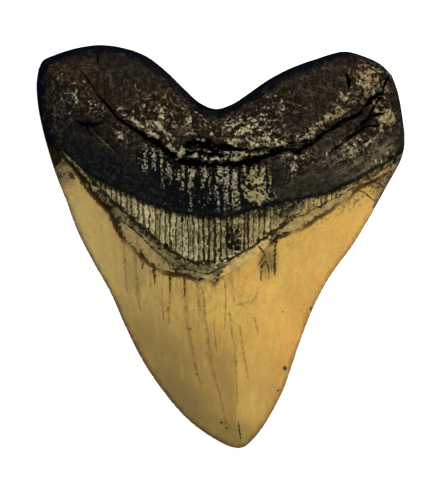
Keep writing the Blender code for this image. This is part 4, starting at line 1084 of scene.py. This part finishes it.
def upperHeight(points, levels):
    x, y = points.T
    rim = rimHeight(y)
    _, rimAway, _ = nearLines(points, [outline])
    height = np.zeros(len(points))
    isRoot = levels < 2.0

    # root: a swollen crest, lumps, grain, pores and cracks
    here = points[isRoot]
    rx, ry = here.T
    swelling = np.clip(1.0 - (2.0 * rx / toothForm["width"]) ** 2, 0.0, 1.0) ** toothForm["crestFall"]
    crest = formBetween("lobeCrest", "crest", swelling)
    _, lipAway, _ = nearLines(here, [lipCurve])
    nearLip = np.clip(1.0 - lipAway / toothForm["lipReach"], 0.0, 1.0)
    turn = turnedOver(rimAway[isRoot], toothForm["rootRounding"])
    face = rim[isRoot] + (crest - rim[isRoot]) * (1.0 - toothForm["lipDrop"] * nearLip ** 1.6) * turn
    smooth = softSpots(here, sootySpots)
    grain = noiseOver(rx, ry, 2.6, 61.0) + 0.8 * noiseOver(rx, ry, 1.1, 67.0)
    pores = poresOver(rx, ry, 3.1, 71.0, 0.42) + 0.6 * poresOver(rx, ry, 1.9, 73.0, 0.4)
    rough = (toothForm["grainHeight"] * grain - toothForm["poreDepth"] * pores) * (1.0 - 0.85 * smooth)
    steadier = smoothStep(rimAway[isRoot], 0.0, 2.0)
    height[isRoot] = (face + lumpsOver(rx, ry) * (1.0 - 0.6 * nearLip) * turn + rough * steadier
                      - crackGroove(here) * smoothStep(rimAway[isRoot], 0.6, 5.0))

    # crown side: a lens between two cutting edges, and the steps of bourlette, dentine and enamel
    rest = ~isRoot
    here = points[rest]
    cx, cy = here.T
    rise = np.clip((cy - toothForm["tipY"]) / (toothForm["lipLine"] - toothForm["tipY"]), 0.0, None) ** 0.8
    middle = formBetween("tipTop", "crownTop", rise)
    fullness = formBetween("bladeFullness", "shoulderFullness", smoothStep(cy, -15.0, 32.0))
    fullness -= toothForm["ridgeSharpness"] * smoothStep(-cy, 12.0, 44.0)
    across = acrossTooth(here)
    shift = toothForm["ridgeShift"] * smoothStep(-cy, 6.0, 34.0)
    across = np.where(across > shift, (across - shift) / (1.0 - shift), (across - shift) / (1.0 + shift))
    lens = (1.0 - np.abs(across) ** fullness) ** 0.85
    crown = rim[rest] + (middle - rim[rest]) * lens
    inside = smoothStep(rimAway[rest], 0.0, 5.0)
    level = levels[rest]
    inBand, inDentine, inEnamel = level < 3.0, (level >= 3.0) & (level < 4.0), level >= 4.0
    phase = barPhase(here)
    bars = (0.5 - 0.5 * np.cos(2 * np.pi * phase)) ** 0.6
    wave = bars * barStrength(here) * smoothStep(level, 2.0, 2.1) * (1.0 - smoothStep(level, 2.9, 3.0))
    crumbs = 0.12 * noiseOver(cx, cy, 1.3, 83.0) + 0.12 * noiseOver(cx, cy, 3.2, 87.0)
    crown += inBand * inside * (toothForm["dentineStep"] - toothForm["enamelStep"] + crumbs
                                + toothForm["barHeight"] * (wave - 0.4))
    crown += inDentine * inside * (crumbs - toothForm["enamelStep"])
    _, hairAway, hairWidth = nearLines(here, hairLines)
    hairs = toothForm["hairDepth"] * (1.0 - smoothStep(hairAway / (hairWidth + 0.25), 0.2, 1.0))
    ripple = 0.10 * noiseOver(cx, cy, 11.0, 91.0) + 0.03 * noiseOver(cx, cy * 0.25, 2.2, 97.0)
    crown += inEnamel * (ripple * inside - hairs * inside)
    height[rest] = crown
    return height


def lowerHeight(points, levels):
    x, y = points.T
    rim = rimHeight(y)
    hollow = toothForm["labialHollow"] * smoothStep(y, -18.0, 26.0) * smoothStep(-np.abs(x), -36.0, -10.0)
    _, rimAway, _ = nearLines(points, [outline])
    grain = 0.5 * noiseOver(x, y, 2.8, 103.0) + 0.5 * noiseOver(x, y, 1.4, 107.0)
    pores = poresOver(x, y, 3.3, 109.0, 0.4)
    rootTurn = turnedOver(rimAway, toothForm["labialRounding"])
    step = toothForm["labialStep"] * smoothStep(-y, -46.0, -34.0)
    rootFloor = np.maximum(0.0, hollow + 0.4 * lumpsOver(x, y)) + step + 0.3 * np.maximum(grain + pores, 0.0)
    across = acrossTooth(points)
    crownTurn = np.sin(0.5 * np.pi * np.clip(1.3 * (1.0 - across ** 2) ** 0.7, 0.0, 1.0))
    wrinkles = 0.16 * noiseOver(x, y * 0.3, 2.6, 113.0) * smoothStep(y, -6.0, 24.0)
    wrinkles += 0.12 * noiseOver(x, y, 9.0, 117.0)
    crownFloor = (hollow + toothForm["tipLift"] * smoothStep(-y, 14.0, 65.0) + toothForm["labialBulge"] * across ** 2
                  + np.maximum(wrinkles + 0.06, 0.0))
    share = smoothStep(levels, 1.3, 2.7)
    turn = rootTurn + (crownTurn - rootTurn) * share
    floor = rootFloor + (crownFloor - rootFloor) * share
    return floor * turn + rim * (1.0 - turn)


# Rows crowd at each ledge and at the outline; each stretch gives its first and last level and its rows
rowStretches = [(0.062, 1.0, 45), (1.0, 1.985, 41), (2.0, 2.985, 33), (3.0, 3.95, 15), (4.0, 4.994, 95)]
rowLevels = [0.0, 0.003, 0.01, 0.022, 0.04, 4.998, 5.0]
for first, last, count in rowStretches:
    rowLevels += list(np.linspace(first, last, count))
rowLevels = sorted(set(round(level, 5) for level in rowLevels))
if len(rowLevels) % 2 == 0:
    rowLevels.remove(min(rowLevels, key=lambda level: abs(level - 4.5)))
print("rows", len(rowLevels))


def deselectAll():
    bpy.ops.object.select_all(action="DESELECT")


def addGrid(name, columns, rows):
    deselectAll()
    bpy.ops.mesh.primitive_grid_add(x_subdivisions=columns, y_subdivisions=rows, size=1.0)
    grid = bpy.context.object
    grid.name = grid.data.name = name
    for material in toothFinishes:
        grid.data.materials.append(material)
    return grid


# Moves a grid's points onto the tooth; shares say how each row is spread from border to border
def layGrid(grid, curves, levels, shareRows, heightOver):
    points = np.vstack([rowPoints(curves, level, shares) for level, shares in zip(levels, shareRows)])
    spread = np.repeat(levels, [len(shares) for shares in shareRows])
    heights = heightOver(points, spread)
    flat = (points - outlineMiddle) * outlineScale
    place = np.column_stack([flat, heights]) * mm
    grid.data.vertices.foreach_set("co", place.ravel())
    grid.data.update()


def lowerShares(level, columns):
    even = np.linspace(0.0, 1.0, columns + 1)
    crowded = 0.5 - 0.5 * np.cos(np.pi * even)
    mixed = smoothStep(level, 0.02, 0.6) * (1.0 - smoothStep(level, 4.9, 5.0))
    return even + (crowded - even) * mixed


columns = toothForm["columns"]
upper = addGrid("fossilTooth", columns, len(rowLevels) - 1)
layGrid(upper, lingualCurves, rowLevels, [np.linspace(0.0, 1.0, columns + 1)] * len(rowLevels), upperHeight)
print("upper side laid")
lowerLevels = rowLevels[::2]
lower = addGrid("underside", columns // 2, len(lowerLevels) - 1)
layGrid(lower, labialCurves, lowerLevels, [lowerShares(level, columns // 2) for level in lowerLevels], lowerHeight)
print("lower side laid")


# Root, band and crown by the level of each row; the underside has no band
def gridFinishes(grid, levels, columnCount, bandEnd):
    finish = []
    for level in levels[:-1]:
        finish += [0 if level < 1.98 else 1 if level < bandEnd else 2] * columnCount
    grid.data.polygons.foreach_set("material_index", finish)


gridFinishes(upper, rowLevels, columns, bandEnd=3.94)
gridFinishes(lower, lowerLevels, columns // 2, bandEnd=0.0)


def selectWhere(mesh, edgeTest):
    bpy.ops.object.mode_set(mode="EDIT")
    bpy.ops.mesh.select_mode(type="EDGE")
    bpy.ops.mesh.select_all(action="DESELECT")
    bpy.ops.object.mode_set(mode="OBJECT")
    mesh.edges.foreach_set("select", edgeTest)
    bpy.ops.object.mode_set(mode="EDIT")


def edgeEnds(mesh):
    ends = np.empty(len(mesh.edges) * 2, np.int32)
    mesh.edges.foreach_get("vertices", ends)
    return ends.reshape(-1, 2)


def pointsOf(mesh):
    place = np.empty(len(mesh.vertices) * 3)
    mesh.vertices.foreach_get("co", place)
    return place.reshape(-1, 3)


def keep(mesh, name, values):
    mesh.attributes.new(name, "FLOAT", "POINT").data.foreach_set("value", np.asarray(values, np.float32))


def keptOn(mesh, name):
    values = np.empty(len(mesh.vertices))
    mesh.attributes[name].data.foreach_get("value", values)
    return values


# Back to millimetres and to the lines' own place
def flatOf(place):
    return place[:, :2] / mm / outlineScale + outlineMiddle


def onGridBorder(count, width):
    index = np.arange(count)
    row, column = index // width, index % width
    return (row == 0) | (row == row.max()) | (column == 0) | (column == width - 1)


# The lower side's border edges are halved, so that each of its points has one of the upper side's to sit on
lowerWidth, upperWidth = columns // 2 + 1, columns + 1
lowerCount = len(lower.data.vertices)
border = onGridBorder(lowerCount, lowerWidth)
ends = edgeEnds(lower.data)
row, column = np.divmod(ends, lowerWidth)
sameSide = ((column[:, 0] == column[:, 1]) & np.isin(column[:, 0], (0, lowerWidth - 1))) | (
    (row[:, 0] == row[:, 1]) & np.isin(row[:, 0], (0, len(lowerLevels) - 1)))
deselectAll()
lower.select_set(True)
bpy.context.view_layer.objects.active = lower
selectWhere(lower.data, sameSide)
bpy.ops.mesh.subdivide(number_cuts=1, ngon=True, quadcorner="STRAIGHT_CUT")
bpy.ops.object.mode_set(mode="OBJECT")
upperPlace, lowerPlace = pointsOf(upper.data), pointsOf(lower.data)
twin = np.full(len(lowerPlace), -1)
index = np.flatnonzero(border)
twin[index] = (index // lowerWidth) * 2 * upperWidth + (index % lowerWidth) * 2
ends = edgeEnds(lower.data)
for first, last in ends:
    for new, old in ((first, last), (last, first)):
        if new >= lowerCount and old < lowerCount and border[old]:
            twin[new] += (old // lowerWidth) * upperWidth + old % lowerWidth + (twin[new] < 0)
snapped = np.flatnonzero(twin >= 0)
lowerPlace[snapped] = upperPlace[twin[snapped]]
lower.data.vertices.foreach_set("co", lowerPlace.ravel())
for grid, onBorder in ((upper, onGridBorder(len(upperPlace), upperWidth)), (lower, twin >= 0)):
    keep(grid.data, "rimEdge", onBorder)
    keep(grid.data, "underside", np.full(len(onBorder), grid == lower))

deselectAll()
lower.select_set(True)
upper.select_set(True)
bpy.context.view_layer.objects.active = upper
bpy.ops.object.join()
fossilTooth = bpy.context.object
bpy.ops.object.mode_set(mode="EDIT")
bpy.ops.mesh.select_all(action="SELECT")
bpy.ops.mesh.remove_doubles(threshold=0.001 * mm)
bpy.ops.mesh.normals_make_consistent(inside=False)
bpy.ops.object.mode_set(mode="OBJECT")
print("sides joined", len(fossilTooth.data.vertices))

# Saw teeth: the cutting edges are cut finer, and points near them move inwards in waves
mesh = fossilTooth.data
place, ends = pointsOf(mesh), edgeEnds(mesh)
longEdge = np.linalg.norm(place[ends[:, 0]] - place[ends[:, 1]], axis=1) > 0.5 * mm
onRim = (keptOn(mesh, "rimEdge")[ends] > 0.99).all(axis=1)
inCrown = place[ends][:, :, 1].max(axis=1) < (toothForm["sawTop"] + 1.0) * mm
selectWhere(mesh, onRim & inCrown & longEdge)
bpy.ops.mesh.subdivide(number_cuts=toothForm["sawCuts"], ngon=True)
bpy.ops.object.mode_set(mode="OBJECT")
place = pointsOf(mesh)
evenLoop = lineAt(np.vstack([leftEdge, rightEdge[-2::-1]]), np.linspace(0.0, 1.0, 6000))
lastStep = len(evenLoop) - 1
loopStep = lineLength(evenLoop) / lastStep
loopTree = treeOf(evenLoop)
for i, (x, y) in enumerate(flatOf(place)):
    if y > toothForm["sawTop"]:
        continue
    _, near, away = loopTree.find((x, y, 0.0))
    if away > toothForm["sawReach"]:
        continue
    along = near * loopStep
    ahead = evenLoop[min(near + 1, lastStep)] - evenLoop[max(near - 1, 0)]
    ahead = ahead / np.linalg.norm(ahead)
    wave = abs(math.sin(math.pi * along / toothForm["sawPitch"] + 0.8 * noise.noise((along / 3.0, 0.0, 3.3))))
    fade = min(1.0, max(0.0, (toothForm["sawTop"] - y) / 5.0)) * min(1.0, (y - toothForm["tipY"]) / 3.0)
    depth = toothForm["sawDepth"] * (1.0 - wave) * fade * (1.0 - away / toothForm["sawReach"])
    # the loop runs down the left border and up the right one, so inwards is to its left
    place[i, 0] -= ahead[1] * depth * mm
    place[i, 1] += ahead[0] * depth * mm
place = np.clip(place, np.array(toothLow), np.array(toothHigh))
mesh.vertices.foreach_set("co", place.ravel())
mesh.update()
print("saw teeth cut", len(mesh.vertices))

# Values that the materials read, in millimetres or as shares
flat = flatOf(pointsOf(mesh))
isUnder = keptOn(mesh, "underside") > 0.5


def bothSides(above, below):
    return np.where(isUnder, below, above)


labialSide = nearLines(flat, [labialCurves[2]])[0]
for name, curve in (("lipSide", lipCurve), ("bandSide", bandCurve), ("enamelSide", enamelCurve)):
    keep(mesh, name, bothSides(nearLines(flat, [curve])[0], labialSide))
keep(mesh, "rimAway", nearLines(flat, [outline])[1])
keep(mesh, "barPhase", barPhase(flat))
keep(mesh, "barred", barStrength(flat))


def inHalfWidths(lines):
    side, away, width = nearLines(flat, lines)
    return side / width, away / width


# Side and distance of the nearest line, in its half widths; with no lines below, the underside is far from any
def keepLines(name, above, below=None):
    side, away = inHalfWidths(above)
    sideBelow, awayBelow = inHalfWidths(below) if below else (side, farAway)
    keep(mesh, name + "Side", bothSides(side, sideBelow))
    keep(mesh, name + "Away", bothSides(away, awayBelow))


keepLines("crack", crackLines)
keepLines("hair", hairLines, smoothLines(labialCracks))
keepLines("ink", smoothLines(inkLines), smoothLines(labialInk))
keepLines("pale", smoothLines(paleLines))
# each kind of soft mark: on the upper side, on the underside, and everywhere on the underside
softMarks = {
    "worn": (wornSpots, labialWornSpots, 0.35), "sooty": (sootySpots, labialSootySpots, 0.0),
    "rusty": (rustySpots, [], 0.25), "tanned": (tannedSpots, [], 0.3), "brushed": (brushedSpots, [], 0.0),
    "streaky": (streakySpots, [], 0.0), "cream": (creamSpots, [], 0.0), "bandShade": (bandShades, [], 0.0),
    "bandMoss": (bandMosses, [], 0.0), "bandTan": (bandTans, [], 0.0), "bandPale": (bandPales, [], 0.0),
    "hole": (bandHoles, [], 0.0), "edgeDark": (edgeDarks, [], 0.6), "crownStain": (crownStainsAndShade, labialStains, 0.15),
    "speckled": (speckledSpots, labialSpecks, 0.0), "spot": (crownSpots, [], 0.0),
}
for name, (above, below, everywhere) in softMarks.items():
    keep(mesh, name, bothSides(softSpots(flat, above), np.maximum(softSpots(flat, below), everywhere)))
mesh.shade_smooth()
print("surface values kept")


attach(fossilTooth, "root")
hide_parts("tooth")

studio = {
    "floorSize": 3.0,
    "floorColour": (0.93, 0.93, 0.94),
    "lightSize": 0.8,
    "keyAt": (0.62, 0.45, 0.70),
    "keyColour": (1.0, 0.965, 0.90),
    "keyPower": 11.0,
    "fillAt": (-0.6, 0.35, 0.8),
    "fillColour": (1.0, 1.0, 1.0),
    "fillPower": 3.0,
    "floorGlow": 0.6,
    "skyStrength": 0.62,
    "skyColour": (0.93, 0.96, 1.0),
    "cameraLens": 400.0,
    "cameraAway": 1.791,
    "cameraAt": (0.25, -1.0, 5.0),  # what it looks at, in millimetres
}
deselectAll()
bpy.ops.mesh.primitive_plane_add(size=studio["floorSize"])
floor = bpy.context.object
floor.name = "studioFloor"
floorMaterial = bpy.data.materials.new("paleFloor")
floorMaterial.use_nodes = True
n = Nodes(floorMaterial.node_tree)
floorShader = floorMaterial.node_tree.nodes["Principled BSDF"]
floorShader.inputs["Base Color"].default_value = (*studio["floorColour"], 1.0)
floorShader.inputs["Roughness"].default_value = 0.9
floorShader.inputs["Specular IOR Level"].default_value = 0.0
floorShader.inputs["Emission Color"].default_value = (1.0, 1.0, 1.0, 1.0)
floorShader.inputs["Emission Strength"].default_value = studio["floorGlow"]
clear = n.add("ShaderNodeBsdfTransparent")
seen = n.add("ShaderNodeMixShader", {0: n.add("ShaderNodeNewGeometry").outputs["Backfacing"],
                                     1: floorShader.outputs[0], 2: clear.outputs[0]})
n.feed(floorMaterial.node_tree.nodes["Material Output"].inputs["Surface"], seen.outputs[0])
floor.data.materials.append(floorMaterial)

world = bpy.data.worlds.new("softSky")
bpy.context.scene.world = world
world.use_nodes = True
sky = world.node_tree.nodes["Background"].inputs
sky["Color"].default_value = (*studio["skyColour"], 1.0)
sky["Strength"].default_value = studio["skyStrength"]


# A soft square light that shines on the origin
def addLight(name, place, power, colour):
    bpy.ops.object.light_add(type="AREA", location=place)
    light = bpy.context.object
    light.name = light.data.name = name
    light.data.size = studio["lightSize"]
    light.data.energy = power
    light.data.color = colour
    light.rotation_euler = (-Vector(place)).to_track_quat("-Z", "Y").to_euler()


addLight("keyLight", studio["keyAt"], studio["keyPower"], studio["keyColour"])
addLight("fillLight", studio["fillAt"], studio["fillPower"], studio["fillColour"])

bpy.ops.object.camera_add()
camera = bpy.context.object
camera.name = "camera"
camera.data.lens = studio["cameraLens"]
camera.data.sensor_width = 36.0
camera.data.clip_end = 20.0
aim = Vector(studio["cameraAt"]) * mm
camera.location = aim + Vector((0.0, 0.0, studio["cameraAway"]))
camera.rotation_euler = (0.0, 0.0, 0.0)
bpy.context.scene.camera = camera
bpy.context.scene.view_settings.view_transform = "Standard"
print("studio set")
